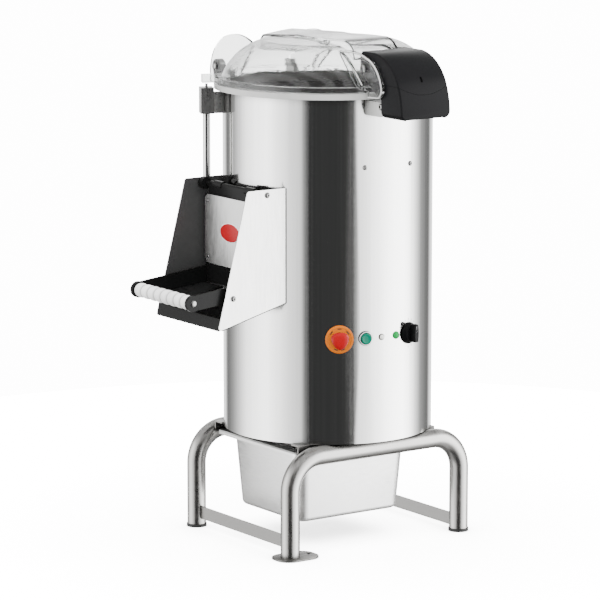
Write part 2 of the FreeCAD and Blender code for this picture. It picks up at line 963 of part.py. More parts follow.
def spine(shrink):
    """Band across the dome from the rear ears to the latch, falling to both sides at the rear."""
    half = spine_half_width - shrink
    shoulder = rim_radius - dome_shoulder_inset
    top = lid_top + dome_apex_rise - shrink
    front = top + spine_front_rise
    rear = top + spine_rear_rise
    end = shoulder + spine_run_out
    bend = shoulder + spine_run_out * 0.67
    start = shoulder - spine_run_out * 0.2
    low = lid_top + dome_shoulder_rise - spine_run_out * 0.6
    band = prism_x(
        -half, half,
        (-end, low),
        ((-bend, front - spine_run_out * 0.33), (-start, front - 1)),
        ((-shoulder / 2, top + spine_front_rise * 0.3), (0, top)),
        ((shoulder / 2, top + spine_rear_rise * 0.4), (start, rear - 1)),
        ((bend, rear - spine_run_out * 0.38), (end, low)),
    )
    hip = rear_hip(shrink)
    return band.cut([hip, mirrored_x(hip)])


def front_ear():
    """Left front ear that carries the latch hood."""
    rim = -rim_radius
    z = lid_top
    tip = rim - front_ear_reach
    top = z + front_ear_rise
    foot = z - front_ear_drop
    root = rim + front_ear_root
    inside = z - lid_flange_height / 2
    x0 = -front_ear_offset - ear_thickness / 2
    plate = prism_x(
        x0, x0 + ear_thickness,
        (root, top),
        ((rim + 30, top), (rim - 11, top - 12)),
        ((tip + 13, z + 33), (tip, z + 3)),
        ((tip + 2, z - 9), (tip + 13, foot + 2)),
        (rim - 2, foot),
        (rim - 2, inside),
        (rim + 20, inside),
        (rim + 40, z - 2),
        ((rim + 66, z + 25), (root, top - 8)),
    )
    hole = rod_along_x(hood_screw_radius + running_gap, x0 - 1, x0 + ear_thickness + overcut,
                       hood_pivot_y, hood_pivot_z)
    return plate.cut(hole)


def rear_ear():
    """Left rear ear that turns on a hinge bolt."""
    rim = rim_radius
    z = lid_top
    tip = rim + rear_ear_reach
    top = z + rear_ear_rise
    foot = z - rear_ear_drop
    x0 = -rear_ear_offset - ear_thickness / 2
    plate = prism_x(
        x0, x0 + ear_thickness,
        (rim - rear_ear_root, top - 15),
        ((rim - 60, top), (rim - 6, top - 7)),
        ((tip - 20, z + 42), (tip - 4, z + 12)),
        ((tip, z - 19), (tip - 2, foot)),
        (rim + rear_ear_foot_gap, foot),
        (rim - 12, z - 8),
        (rim - 60, z - lid_flange_height / 2),
    )
    hole = rod_along_x(hinge_bolt_radius + running_gap, x0 - 1, x0 + ear_thickness + overcut,
                       hinge_y, hinge_z)
    return plate.cut(hole)


def rod_angle():
    return math.degrees(math.atan2(door_pivot_x, -rod_offset))


def radial_box(half_side, r0, r1, z0, z1):
    """Box on the interlock rod's radial line, from one radius to another."""
    block = box(-half_side, half_side, z0, z1, r0 - drum_radius, r1 - drum_radius)
    return radial(block, rod_angle(), 0)


def lock_lugs(lid):
    """Two lugs bonded to the lid's edge, with room for the interlock pin between them."""
    root = rim_radius - nub_overlap
    low = lid_bottom + nub_rise
    nub = radial_box(nub_width / 2, root, rim_radius + nub_reach, low, low + nub_height)
    gap = radial_box(nub_slot_width / 2, root - overcut, rim_radius + nub_reach + overcut,
                     low - overcut, low + nub_height + overcut)
    return nub.cut(gap).cut(lid)


def lid_dome():
    flange = cylinder(rim_radius, lid_bottom, lid_top)
    shell = fuse(flange, dome(0), spine(0))
    shell = cut(shell, dome(lid_wall), spine(lid_wall))
    left = fuse(front_ear(), rear_ear())
    ears = [left, mirrored_x(left)]
    return shell.fuse(ears).removeSplitter()


def hinge_bracket(side):
    """Arm from the drum's rear to the knuckle inside a lid ear."""
    ear_inside = rear_ear_offset - ear_thickness / 2 - side_play
    x1 = ear_inside
    x0 = ear_inside - knuckle_length
    low = drum_top - bracket_drop
    shelf = drum_top - bracket_shelf
    arm = prism_x(
        x0, x1,
        (drum_radius * 0.85, low),
        (rim_radius, low + knuckle_radius / 2),
        (hinge_y + knuckle_radius / 2, shelf + knuckle_radius / 2),
        (hinge_y + knuckle_radius, hinge_z),
        ((hinge_y, hinge_z + knuckle_radius), (hinge_y - knuckle_radius, hinge_z)),
        (hinge_y - knuckle_radius - 10, shelf),
        (drum_radius * 0.85, shelf),
    )
    arm = clear_of_drum(arm)
    arm = arm.cut(rod_along_x(hinge_bolt_radius + running_gap, x0 - 1, x1 + 1, hinge_y, hinge_z))
    return arm if side > 0 else mirrored_x(arm)


def hinge_bolts():
    outer = rear_ear_offset + ear_thickness / 2 + running_gap
    length = ear_thickness + knuckle_length + 2 * side_play
    bolt = domed_bolt(hinge_bolt_head, hinge_bolt_head_height, hinge_bolt_radius, length)
    right = bolt_along(bolt, vec(outer, hinge_y, hinge_z), vec(1, 0, 0))
    return [mirrored_x(right), right]


def hood_profile(x0, x1, wall):
    """Side shape of the latch hood, drawn a wall's thickness inside its skin."""
    rim = -rim_radius
    z = lid_top
    low = z - hood_drop - (hood_corner if wall else 0)
    top = z + hood_rise - wall
    face = rim - hood_reach + wall
    side = rim - hood_side_reach + wall
    back = rim + hood_back_cover + wall
    return prism_x(
        x0, x1,
        (back, top),
        (rim - 11, top),
        ((face + 47, top - 18), (face + 17, z + 21)),
        ((face + 5, z - 10), (face, z - 40)),
        (face, low),
        (side, low),
        (side, z - front_ear_drop),
        (rim - 2 + wall, z + 5),
        (back, z + 30),
    )


def latch_hood():
    skin = hood_profile(-hood_half_width, hood_half_width, 0)
    inner = hood_half_width - hood_wall
    hollow = hood_profile(-inner, inner, hood_wall)
    low = lid_top - hood_drop
    front = -rim_radius - hood_reach - overcut
    rear = -rim_radius - hood_side_reach
    back = -rim_radius + hood_back_cover + overcut
    open_back = box(-inner, inner, rear, back, low - overcut, lid_top + hood_rise - hood_wall)
    shell = cut(skin, hollow, open_back)
    centre = hood_half_width - hood_corner
    corner = box(centre, hood_half_width + overcut, front, rear + overcut,
                 low - overcut, low + hood_corner)
    trim = corner.cut(rod_along_y(hood_corner, front, rear + overcut, centre, low + hood_corner))
    shell = cut(shell, trim, mirrored_x(trim))
    boss = rod_along_x(hood_boss_radius, inner - hood_boss_length, inner + overcut,
                       hood_pivot_y, hood_pivot_z)
    shell = fuse(shell, boss, mirrored_x(boss))
    bore = rod_along_x(hood_screw_radius + running_gap, -front_ear_offset, front_ear_offset,
                       hood_pivot_y, hood_pivot_z)
    return shell.cut(bore)


def latch_screws():
    outer = front_ear_offset + ear_thickness / 2 + running_gap
    boss_end = hood_half_width - hood_wall - hood_boss_length
    length = outer - boss_end + hood_screw_past_boss
    bolt = domed_bolt(hood_screw_head, hood_screw_head_height, hood_screw_radius, length)
    right = bolt_along(bolt, vec(outer, hood_pivot_y, hood_pivot_z), vec(1, 0, 0))
    return [mirrored_x(right), right]


def latch_hooks():
    """Hooks inside the hood that come down in front of the keeper pin."""
    front = -rim_radius - hood_reach + hood_wall
    nose = keeper_pin_y - keeper_pin_radius - hook_pin_gap
    z = keeper_pin_z
    half = hook_thickness / 2
    right = prism_x(
        hook_offset - half, hook_offset + half,
        (front + 13, z + 42),
        (nose - 12, z + 40),
        (nose, z + 14),
        (nose, z - 8),
        (nose - 12, z - 15),
        (front + 1.5, z + 2),
        (front + 5.5, z + 24),
    )
    return [mirrored_x(right), right]


def latch_spring():
    """Torsion spring round the left latch screw, with its leg on the hood."""
    mean = hood_screw_radius + latch_wire_radius + latch_spring_gap
    pitch = 2 * latch_wire_radius + side_play
    helix = Part.makeHelix(pitch, pitch * latch_coils, mean)
    start = vec(mean, 0, 0)
    wire_section = Part.Wire(Part.makeCircle(latch_wire_radius, start, vec(0, 1, 0)))
    coil = Part.Wire(helix.Edges).makePipeShell([wire_section], True, True)
    x = hood_half_width - hood_wall - hood_boss_length - side_play - latch_wire_radius
    coil.Placement = FreeCAD.Placement(
        vec(x, hood_pivot_y, hood_pivot_z), FreeCAD.Rotation(UP, vec(-1, 0, 0)),
    )
    return coil


def keeper_bracket():
    low = keeper_top - keeper_height
    tip = -(drum_radius + keeper_reach)
    half = keeper_half_width
    nose = keeper_pin_drop
    bend = nose * (1 - math.cos(math.radians(45)))
    cheek = prism_x(
        half - keeper_wall, half,
        (-drum_radius * 0.9, keeper_top),
        (tip + nose, keeper_top),
        ((tip + bend, keeper_top - bend), (tip, keeper_top - nose)),
        (tip, low + nose),
        ((tip + bend, low + bend), (tip + nose, low)),
        (-drum_radius * 0.9, low),
    )
    back_y = -(drum_radius + seat_gap)
    back = box(-half, half, back_y - keeper_wall, back_y, low, keeper_top)
    body = fuse(cheek, mirrored_x(cheek), back)
    body = clear_of_drum(body)
    bore = rod_along_x(keeper_pin_radius + running_gap, -half - overcut, half + overcut,
                       keeper_pin_y, keeper_pin_z)
    return body.cut(bore)


def keeper_pin():
    return rod_along_x(keeper_pin_radius, -keeper_half_width, keeper_half_width,
                       keeper_pin_y, keeper_pin_z)


def cheek():
    """Rear side wall of the chute."""
    top_reach = -(drum_radius + chute_top_reach)
    front_reach = -(drum_radius + chute_front_reach)
    inner = -drum_radius * 0.8
    plate = prism_y(
        cheek_offset - cheek_thickness, cheek_offset,
        (inner, chute_top), (top_reach, chute_top), (front_reach, chute_front),
        (inner, chute_sill),
    )
    sharp = []
    for edge in plate.Edges:
        at = edge.CenterOfMass
        along_y = abs(edge.tangentAt(edge.FirstParameter).y) > 0.9
        if along_y and at.x < top_reach + 1:
            sharp.append(edge)
    plate = plate.makeFillet(cheek_corner, sharp)
    plate = clear_of_drum(plate)
    y0 = cheek_offset - cheek_thickness - overcut
    y1 = cheek_offset + overcut
    hole = door_bar_bolt_radius + running_gap
    return cut(
        plate,
        rod_along_y(hole, y0, y1, door_pivot_x, door_pivot_z),
        rod_along_y(hole, y0, y1, guide_x, guide_z),
    )


def chute_floor():
    """Sloping floor and front lip between the cheeks."""
    half = cheek_offset - cheek_thickness - weld_gap
    inner = -drum_radius * 0.8
    front = -(drum_radius + chute_front_reach)
    lean = (chute_front_reach - chute_top_reach) / (chute_top - chute_front)
    lip_x = front + chute_lip_height * lean
    wall = chute_floor_thickness
    inset = cheek_corner * 0.5
    slope = (chute_sill - chute_front) / (inner - front)
    body = prism_y(
        -half, half,
        (inner, chute_sill),
        (front + inset, chute_front + inset * slope + 0.5),
        (front + 0.4, chute_front + inset + 1.5),
        (lip_x, chute_front + chute_lip_height),
        (lip_x + wall, chute_front + chute_lip_height),
        (front + wall + 2, chute_front + inset + 2.2),
        (inner, chute_sill + wall),
    )
    return clear_of_drum(body)


def outlet_frame():
    outer = outlet_space(-frame_face, -drum_radius / 2, frame_border)
    frame = outer.cut(outlet_space(-frame_face - overcut, 0))
    return clear_of_drum(frame)


def door_seal():
    back = -frame_face
    front = back - seal_thickness
    outer = outlet_space(front, back, frame_border - 2)
    return outer.cut(outlet_space(front - overcut, back + overcut, 1.0))


def lever_yoke():
    """Black U frame: back plate, two arms and the bosses of the handle."""
    half = yoke_half_width
    low = door_bottom - yoke_back_drop
    back = box(-yoke_front, -yoke_back, -half, half, low, door_top - overcut)
    eyes = []
    eye_radius = door_bar_radius + door_eye_wall
    eye_half = door_eye_width / 2
    for side in (-1, 1):
        y = side * half * door_eye_share
        tab = box(-yoke_front, -yoke_back, y - eye_half, y + eye_half,
                  door_top - door_eye_wall, door_pivot_z)
        eye = rod_along_y(eye_radius, y - eye_half, y + eye_half, door_pivot_x, door_pivot_z)
        eyes += [tab, eye]
    arms = []
    for side in (-1, 1):
        inner = side * (half - yoke_thickness)
        outer = side * half
        tip = handle_boss_radius - 1
        arm = prism_y(
            min(inner, outer), max(inner, outer),
            (-yoke_back, low),
            (handle_x + 2, handle_z - tip),
            (handle_x + 2, handle_z + tip),
            (-yoke_back, low + arm_height),
        )
        boss_end = side * (half + handle_boss_proud)
        boss_start = boss_end - side * handle_boss_length
        boss = rod_along_y(handle_boss_radius, min(boss_start, boss_end),
                           max(boss_start, boss_end), handle_x, handle_z)
        arms += [arm, boss]
    body = fuse(back, *eyes, *arms)
    tools = [
        rod_along_y(door_bar_radius + running_gap, -2 * half, 2 * half,
                    door_pivot_x, door_pivot_z),
        rod_along_y(handle_rod_radius + running_gap, -2 * half, 2 * half, handle_x, handle_z),
    ]
    return cut(body, *tools)


def door_plate():
    half = door_half_width - door_plate_thickness
    c = door_plate_corner
    face = outline(
        lambda y, z: vec(-door_front, y, z),
        (-half + c, door_bottom), (half - c, door_bottom), (half, door_bottom + c),
        (half, door_top - c), (half - c, door_top), (-half + c, door_top),
        (-half, door_top - c), (-half, door_bottom + c),
    )
    return face.extrude(vec(door_plate_thickness, 0, 0))


def door_rivets():
    rivets = []
    rivet = domed_bolt(rivet_radius, rivet_height, rivet_radius / 3, rivet_lift)
    side = yoke_half_width - rivet_side_inset
    for y in (-side, side):
        for z in (door_bottom + rivet_end_inset, door_top - rivet_end_inset):
            place = vec(-door_front - rivet_lift, y, z)
            rivets.append(bolt_along(rivet, place, vec(-1, 0, 0)))
    return rivets


def door_bar():
    end = cheek_offset - cheek_thickness - side_play
    bar = rod_along_y(door_bar_radius, -end, end, door_pivot_x, door_pivot_z)
    bore = door_bar_bolt_radius + running_gap
    depth = door_bar_bore_depth
    holes = [
        rod_along_y(bore, end - depth, end + overcut, door_pivot_x, door_pivot_z),
        rod_along_y(bore, -end - overcut, -end + depth, door_pivot_x, door_pivot_z),
    ]
    return cut(bar, *holes)


def door_pivot_bolts():
    bolt = domed_bolt(cheek_bolt_head, cheek_bolt_head_height, door_bar_bolt_radius,
                      cheek_thickness + door_bar_bolt_depth)
    rear = bolt_along(bolt, vec(door_pivot_x, cheek_offset, door_pivot_z), vec(0, 1, 0))
    return [rear, mirrored_y(rear)]


def arm_guides():
    """Bolts low on the cheeks, with pads that steer the lever's arms."""
    bolt = domed_bolt(cheek_bolt_head, cheek_bolt_head_height, door_bar_bolt_radius,
                      cheek_thickness)
    rear = bolt_along(bolt, vec(guide_x, cheek_offset, guide_z), vec(0, 1, 0))
    pad = rod_along_y(guide_pad_radius, yoke_half_width + side_play, cheek_offset - cheek_thickness,
                      guide_x, guide_z)
    rear = fuse(rear, pad)
    return [rear, mirrored_y(rear)]


def door_cam():
    """Round cam set off the bar's centre, under the interlock rod."""
    y0 = rod_offset - cam_length / 2
    disc = rod_along_y(cam_radius, y0, y0 + cam_length,
                       door_pivot_x - cam_eccentricity, door_pivot_z)
    return disc.cut(rod_along_y(door_bar_radius + running_gap, y0 - 1, y0 + cam_length + overcut,
                                door_pivot_x, door_pivot_z))


def handle_rod():
    end = yoke_half_width + handle_boss_proud
    return rod_along_y(handle_rod_radius, -end, end, handle_x, handle_z)


def handle_screws():
    screw = domed_bolt(handle_screw_radius, handle_screw_height,
                       handle_screw_radius / 3, rivet_lift)
    end = yoke_half_width + handle_boss_proud + rivet_lift
    rear = bolt_along(screw, vec(handle_x, end, handle_z), vec(0, 1, 0))
    return [rear, mirrored_y(rear)]


def handle_grip():
    """Ridged sleeve that turns on the handle rod."""
    end = yoke_half_width + handle_boss_proud - handle_boss_length - side_play
    step = 2 * end / grip_rings
    waist = grip_radius - grip_groove
    bore = handle_rod_radius + grip_gap
    ridges = []
    for i in range(grip_rings):
        y = -end + i * step
        ridges.append(((grip_radius, y + step / 2), (waist, y + step)))
    face = outline(
        lambda r, y: vec(handle_x + r, y, handle_z),
        (bore, -end), (waist, -end), *ridges, (bore, end),
    )
    return face.revolve(vec(handle_x, 0, handle_z), vec(0, 1, 0), 360)


def interlock_rod():
    rod = cylinder(rod_radius, rod_bottom, rod_shoulder, door_pivot_x, rod_offset)
    pin = cylinder(rod_pin_radius, rod_shoulder, lid_bottom - rod_pin_gap,
                   door_pivot_x, rod_offset)
    return fuse(rod, pin)


def rod_block():
    block = radial_box(block_width / 2, rod_line - block_depth / 2,
                       rod_line + block_depth / 2, block_bottom, block_top)
    ceiling = rod_shoulder + rod_travel + 2 * side_play
    bore = cylinder(rod_radius + running_gap, block_bottom - overcut, ceiling,
                    door_pivot_x, rod_offset)
    pin_bore = cylinder(rod_pin_radius + running_gap, rod_shoulder, block_top + overcut,
                        door_pivot_x, rod_offset)
    return cut(block, bore, pin_bore)


def rod_bracket():
    outer = rod_line - block_depth / 2 - weld_gap
    block = radial_box(bracket_width / 2, drum_inside, outer,
                       block_bottom, drum_top - bracket_shelf / 2)
    return clear_of_drum(block)


def stop_collar():
    r = stop_collar_radius
    top = stop_collar_height
    face = outline(
        lambda r, z: vec(r, 0, z),
        (stop_hole, -top), (r, -top), (r, top - 1.5), (r - 1.5, top), (stop_hole, top),
    )
    collar = face.revolve(vec(0, 0, 0), UP, 360)
    return clear_of_drum(radial(collar, stop_angle, control_z))


def stop_stem():
    low = stop_travel + stop_head_gap
    stem = cylinder(stop_stem_radius, -switch_depth / 2, low + 1.5)
    neck = cylinder(stop_stem_radius - stop_neck_step, low, low + 9.5)
    return radial(fuse(stem, neck), stop_angle, control_z)


def stop_head():
    """Mushroom that pushes in with its stem and twists out."""
    low = stop_travel + stop_head_gap
    high = low + stop_head_height
    r = stop_head_radius
    stem = stop_stem_radius + running_gap
    neck = stem - stop_neck_step
    face = outline(
        lambda r, z: vec(r, 0, z),
        (stem, low), (r - 2, low), (r, low + 2.5),
        ((r * 0.72, high - 3.5), (r * 0.1, high)),
        (0, high), (0, high - 2.5), (neck, high - 2.5), (neck, low + 2), (stem, low + 2),
    )
    return radial(face.revolve(vec(0, 0, 0), UP, 360), stop_angle, control_z)


def switch_block(angle, width, hole_radius):
    """Contact block behind the drum wall, with a threaded barrel into the wall hole."""
    half = width / 2
    barrel_low = -drum_wall - barrel_depth
    barrel = cylinder(hole_radius - seat_gap, barrel_low, -drum_wall / 3)
    block = box(-half, half, -switch_height / 2, switch_height / 2,
                -switch_depth, barrel_low + drum_wall)
    return radial(fuse(barrel, block), angle, control_z)


def stop_block():
    body = switch_block(stop_angle, stop_block_width, stop_hole)
    well = cylinder(stop_stem_radius + running_gap, -switch_depth * 0.7, overcut)
    return body.cut(radial(well, stop_angle, control_z))


def start_bezel():
    inner = start_button_radius + start_button_gap
    r = start_bezel_radius
    top = start_bezel_height
    face = outline(
        lambda r, z: vec(r, 0, z),
        (inner, -3), (r, -3), (r, top - 2), (r - 1.5, top), (inner, top),
    )
    bezel = face.revolve(vec(0, 0, 0), UP, 360)
    return clear_of_drum(radial(bezel, start_angle, control_z))


def start_button():
    r = start_button_radius
    stem = start_plunger_radius
    top = start_button_rise
    face = outline(
        lambda r, z: vec(r, 0, z),
        (0, -6), (stem, -6), (stem, -1), (r, -1), (r, top - 1.5), (r - 1.5, top), (0, top),
    )
    return radial(face.revolve(vec(0, 0, 0), UP, 360), start_angle, control_z)


def start_block():
    body = switch_block(start_angle, start_block_width, start_hole)
    pocket = cylinder(start_button_radius + start_button_gap / 2,
                      -1 - start_travel - side_play, overcut)
    well = cylinder(start_plunger_radius + start_button_gap / 2,
                    -6 - start_travel - side_play, overcut)
    tools = [radial(tool, start_angle, control_z) for tool in (pocket, well)]
    return cut(body, *tools)


def lamp(radius, angle):
    barrel = lamp_barrel_radius
    face = outline(
        lambda r, z: vec(r, 0, z),
        (0, -lamp_depth), (barrel, -lamp_depth), (barrel, seat_gap), (radius, seat_gap),
        (radius, lamp_rim_height),
        ((radius * 0.7, lamp_rise * 0.8), (radius * 0.15, lamp_rise)),
        (0, lamp_rise),
    )
    return radial(face.revolve(vec(0, 0, 0), UP, 360), angle, control_z)


def timer_knob():
    low = knob_lift
    r = knob_radius
    top = low + knob_skirt
    skirt = turned((0, low), (r, low), (r, top - 2), (r - knob_bevel, top), (0, top))
    half = knob_bar_width / 2
    bar = box(-half, half, -r, r, top - overcut, low + knob_height)
    rounding = cylinder(r - knob_bevel / 2, low, low + knob_height)
    knob = fuse(skirt, bar.common(rounding))
    socket = cylinder(knob_shaft_radius, 0, knob_shaft_reach + side_play)
    return radial(knob.cut(socket), knob_angle, control_z)


def knob_shaft():
    shaft = cylinder(knob_shaft_radius - running_gap, -switch_depth / 3, knob_shaft_reach)
    return radial(shaft, knob_angle, control_z)


def timer_block():
    body = switch_block(knob_angle, timer_block_width, knob_hole)
    bore = cylinder(knob_shaft_radius, -switch_depth / 2, overcut)
    return body.cut(radial(bore, knob_angle, control_z))


def cable_gland():
    nut = hexagon(gland_radius, seat_gap, gland_nut_height)
    cap = cylinder(gland_cap_radius, gland_nut_height - overcut, gland_length)
    stub = cylinder(gland_stub_radius, -gland_depth, gland_nut_height)
    bore = cylinder(gland_bore, -gland_depth - overcut, gland_length + overcut)
    return radial(fuse(nut, cap, stub).cut(bore), gland_angle, gland_z)


def gland_nut():
    top = -drum_wall - 4 * seat_gap
    low = top - gland_nut_height * 0.8
    nut = hexagon(gland_radius, low, top)
    bore = cylinder(gland_stub_radius + running_gap, low - overcut, top + overcut)
    return radial(nut.cut(bore), gland_angle, gland_z)


def water_inlet():
    pipe = cylinder(inlet_radius, -inlet_depth, inlet_length)
    flange = cylinder(inlet_flange_radius, inlet_flange_start, inlet_flange_end)
    bore = cylinder(inlet_bore, -inlet_depth - overcut, inlet_length + overcut)
    return radial(fuse(pipe, flange).cut(bore), inlet_angle, inlet_z)


def rounded_wire(length, width, corner, z):
    half_x = length / 2
    half_y = width / 2
    plate = rounded_plate(pan_shift - half_x, pan_shift + half_x, -half_y, half_y,
                          z, z + pan_wall, corner)
    low = [f for f in plate.Faces if abs(f.CenterOfMass.z - z) < 1e-6][0]
    return low.OuterWire


def tapered(shrink, floor_z, top_z):
    top = rounded_wire(pan_body_length - 2 * shrink, pan_body_width - 2 * shrink,
                       pan_corner + 4 - shrink, top_z)
    low = rounded_wire(pan_floor_length - 2 * shrink, pan_floor_width - 2 * shrink,
                       pan_corner - shrink, floor_z)
    return Part.makeLoft([low, top], True, True)


def waste_pan():
    top = pan_flange_height
    low = top - pan_depth
    half_x = pan_length / 2
    half_y = pan_width / 2
    rim_low = top - pan_rim_depth
    corner = pan_flange_corner
    flange = rounded_plate(pan_shift - half_x, pan_shift + half_x, -half_y, half_y,
                           rim_low, top, corner)
    half_x -= pan_wall
    half_y -= pan_wall
    under = rounded_plate(pan_shift - half_x, pan_shift + half_x, -half_y, half_y,
                          rim_low - overcut, top - pan_wall, corner - pan_wall)
    body = fuse(flange.cut(under), tapered(0, low, top - pan_wall / 3))
    body = body.cut(tapered(pan_wall, low + pan_wall, top + overcut))
    return body


def main():
    save("arch_front", arch(-arch_offset))
    save("arch_rear", arch(arch_offset))
    save(
        "crossbars",
        crossbar(-arch_half_span, crossbar_left_rise),
        crossbar(arch_half_span, crossbar_right_rise),
    )
    save("rails", rail(), mirrored_y(rail()))
    plate = anchor_plate()
    save("anchor_plates", plate, mirrored_x(mirrored_y(plate)))
    cap = foot_cap(arch_half_span, -arch_offset)
    save("foot_caps", cap, mirrored_x(mirrored_y(cap)))
    save("drum_shell", drum_shell())
    save("base_plate", base_plate())
    save("drain_floor", drain_floor_plate())
    save("drum_rim", drum_rim())
    save("abrasive_lining", abrasive_lining())
    save("drum_screws", *drum_screws())
    save("bearing_housing", bearing_housing())
    save("housing_bolts", *housing_bolts())
    save("bearings", *bearings())
    save("shaft_seal", shaft_seal())
    save("drive_shaft", drive_shaft())
    save("driven_pulley", driven_pulley())
    save("drive_belt", drive_belt())
    save("motor_pulley", motor_pulley(), motor_shaft())
    save("motor_body", motor_body())
    save("motor_mount", motor_mount())
    save("contactor_box", contactor_box())
    save("peeling_disc", peeling_disc())
    save("disc_grit", disc_grit())
    save("disc_nut", disc_nut())
    lid = lid_dome()
    save("lid_dome", lid, lock_lugs(lid))
    save("hinge_brackets", hinge_bracket(-1), hinge_bracket(1))
    save("hinge_bolts", *hinge_bolts())
    save("latch_hood", latch_hood())
    save("latch_screws", *latch_screws())
    save("latch_hooks", *latch_hooks())
    save("latch_spring", latch_spring())
    save("keeper_bracket", keeper_bracket(), keeper_pin())
    save("chute_cheeks", cheek(), mirrored_y(cheek()))
    save("chute_floor", chute_floor())
    save("outlet_frame", outlet_frame())
    save("door_seal", door_seal())
    save("lever_yoke", lever_yoke())
    save("door_plate", door_plate())
    save("door_fasteners", *door_rivets(), *handle_screws())
    save("door_bar", door_bar())
    save("cheek_bolts", *door_pivot_bolts(), *arm_guides())
    save("door_cam", door_cam())
    save("handle_rod", handle_rod())
    save("handle_grip", handle_grip())
    save("interlock_rod", interlock_rod())
    save("rod_block", rod_block())
    save("rod_bracket", rod_bracket())
    save("stop_collar", stop_collar())
    save("stop_stem", stop_stem())
    save("stop_head", stop_head())
    save("start_bezel", start_bezel())
    save("start_button", start_button())
    save(
        "pilot_lamps",
        lamp(white_lamp_radius, white_lamp_angle),
        lamp(green_lamp_radius, green_lamp_angle),
    )
    save("timer_knob", timer_knob(), knob_shaft())
    save("switch_blocks", stop_block(), start_block(), timer_block())
    save("cable_gland", cable_gland(), gland_nut())
    save("water_inlet", water_inlet())
    save("waste_pan", waste_pan())


if __name__ == "__main__":
    main()
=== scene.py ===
import math

import bpy
from mathutils import Matrix, Vector


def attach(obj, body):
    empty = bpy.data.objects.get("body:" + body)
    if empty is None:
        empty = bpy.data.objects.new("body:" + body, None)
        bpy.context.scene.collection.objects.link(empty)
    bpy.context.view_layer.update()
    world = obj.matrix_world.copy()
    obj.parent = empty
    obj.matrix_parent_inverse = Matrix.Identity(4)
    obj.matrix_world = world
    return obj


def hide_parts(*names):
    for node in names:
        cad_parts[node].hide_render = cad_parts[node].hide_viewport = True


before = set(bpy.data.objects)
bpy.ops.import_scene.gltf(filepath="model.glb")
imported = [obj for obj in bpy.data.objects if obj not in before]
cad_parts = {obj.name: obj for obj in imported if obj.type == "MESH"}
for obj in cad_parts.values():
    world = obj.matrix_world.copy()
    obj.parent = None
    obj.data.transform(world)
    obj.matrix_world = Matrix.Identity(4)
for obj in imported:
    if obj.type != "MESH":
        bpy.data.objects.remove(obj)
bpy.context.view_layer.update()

bl_info = {
    "name": "Potato Peeler",
    "version": (1, 0, 0),
    "blender": (4, 5, 0),
    "location": "View3D > Sidebar > Peeler",
    "description": "Dresses a drum peeler's frame with finishes and detailed pieces",
    "category": "Object",
}

MM = 0.001
TURN = 2 * math.pi
SMOOTH_ANGLE = math.radians(32)
MERGE_DISTANCE = 0.00001

# Places shared with the frame, in millimetres and degrees from the front
DRUM_RADIUS = 220.0
LID_TOP = 970.0
LID_RADIUS = 238.0
CONTROL_Z = 450.0
STOP_ANGLE = -28.8
START_ANGLE = -14.4
LAMP_ANGLES = (-4.8, 4.8)
KNOB_ANGLE = 14.4
HOOD_PIVOT = (-226.0, 1009.0)
DOOR_PIVOT = (-232.8, 750.3)
HANDLE = (-406.0, 542.0)
GUIDE = (-316.5, 544.7)
CHEEK_FACE = 117.2
EAR_FACE = 70.1
CAMERA_AZIMUTH = -34.75

FINISHES = {}


# Drawing and shaping

def mm(x, y, z):
    return Vector((x, y, z)) * MM


def deselect():
    if bpy.context.object and bpy.context.object.mode != "OBJECT":
        bpy.ops.object.mode_set(mode="OBJECT")
    bpy.ops.object.select_all(action="DESELECT")


def pick(piece):
    """Select one piece alone and make it the active one."""
    deselect()
    piece.select_set(True)
    bpy.context.view_layer.objects.active = piece


def arc(first, middle, last, steps=8):
    """Points of a plane on the arc through three of them, without the first."""
    (ax, ay), (bx, by), (cx, cy) = first, middle, last
    d = 2 * (ax * (by - cy) + bx * (cy - ay) + cx * (ay - by))
    a, b, c = ax * ax + ay * ay, bx * bx + by * by, cx * cx + cy * cy
    x = (a * (by - cy) + b * (cy - ay) + c * (ay - by)) / d
    y = (a * (cx - bx) + b * (ax - cx) + c * (bx - ax)) / d
    radius = math.hypot(ax - x, ay - y)
    start = math.atan2(ay - y, ax - x)
    half = (math.atan2(by - y, bx - x) - start) % TURN
    sweep = (math.atan2(cy - y, cx - x) - start) % TURN
    if half > sweep:
        sweep -= TURN
    angles = [start + sweep * i / steps for i in range(1, steps + 1)]
    return [(x + radius * math.cos(t), y + radius * math.sin(t)) for t in angles]


def rounded(half_x, half_y, corner, steps=6):
    """Corner points of a rectangle with round corners, about the origin."""
    points = []
    for i, (sx, sy) in enumerate(((1, 1), (-1, 1), (-1, -1), (1, -1))):
        for k in range(steps + 1):
            t = math.radians(90 * i + 90 * k / steps)
            points.append((sx * (half_x - corner) + corner * math.cos(t),
                           sy * (half_y - corner) + corner * math.sin(t)))
    return points


def trace(name, points, closed=True):
    """Draw an outline corner by corner from one vertex, and fill it if it closes."""
    deselect()
    bpy.ops.mesh.primitive_plane_add(size=MM, location=(0, 0, 0))
    piece = bpy.context.object
    piece.name = piece.data.name = name
    bpy.ops.object.mode_set(mode="EDIT")
    bpy.ops.mesh.select_all(action="SELECT")
    bpy.ops.mesh.merge(type="CENTER")
    bpy.ops.transform.translate(value=points[0])
    for here, there in zip(points, points[1:]):
        bpy.ops.mesh.extrude_region_move(TRANSFORM_OT_translate={"value": there - here})
    bpy.ops.mesh.select_all(action="SELECT")
    if closed:
        bpy.ops.mesh.edge_face_add()
    return piece


def tidy_normals():
    bpy.ops.mesh.select_all(action="SELECT")
    bpy.ops.mesh.remove_doubles(threshold=MERGE_DISTANCE)
    bpy.ops.mesh.normals_make_consistent(inside=False)


def lathe(name, profile, steps=64):
    """Spin a line of (radius, height) points about the vertical axis."""
    piece = trace(name, [mm(r, 0, z) for r, z in profile], closed=False)
    bpy.ops.mesh.spin(steps=steps, angle=TURN, center=(0, 0, 0), axis=(0, 0, 1))
    tidy_normals()
    bpy.ops.object.mode_set(mode="OBJECT")
    return piece


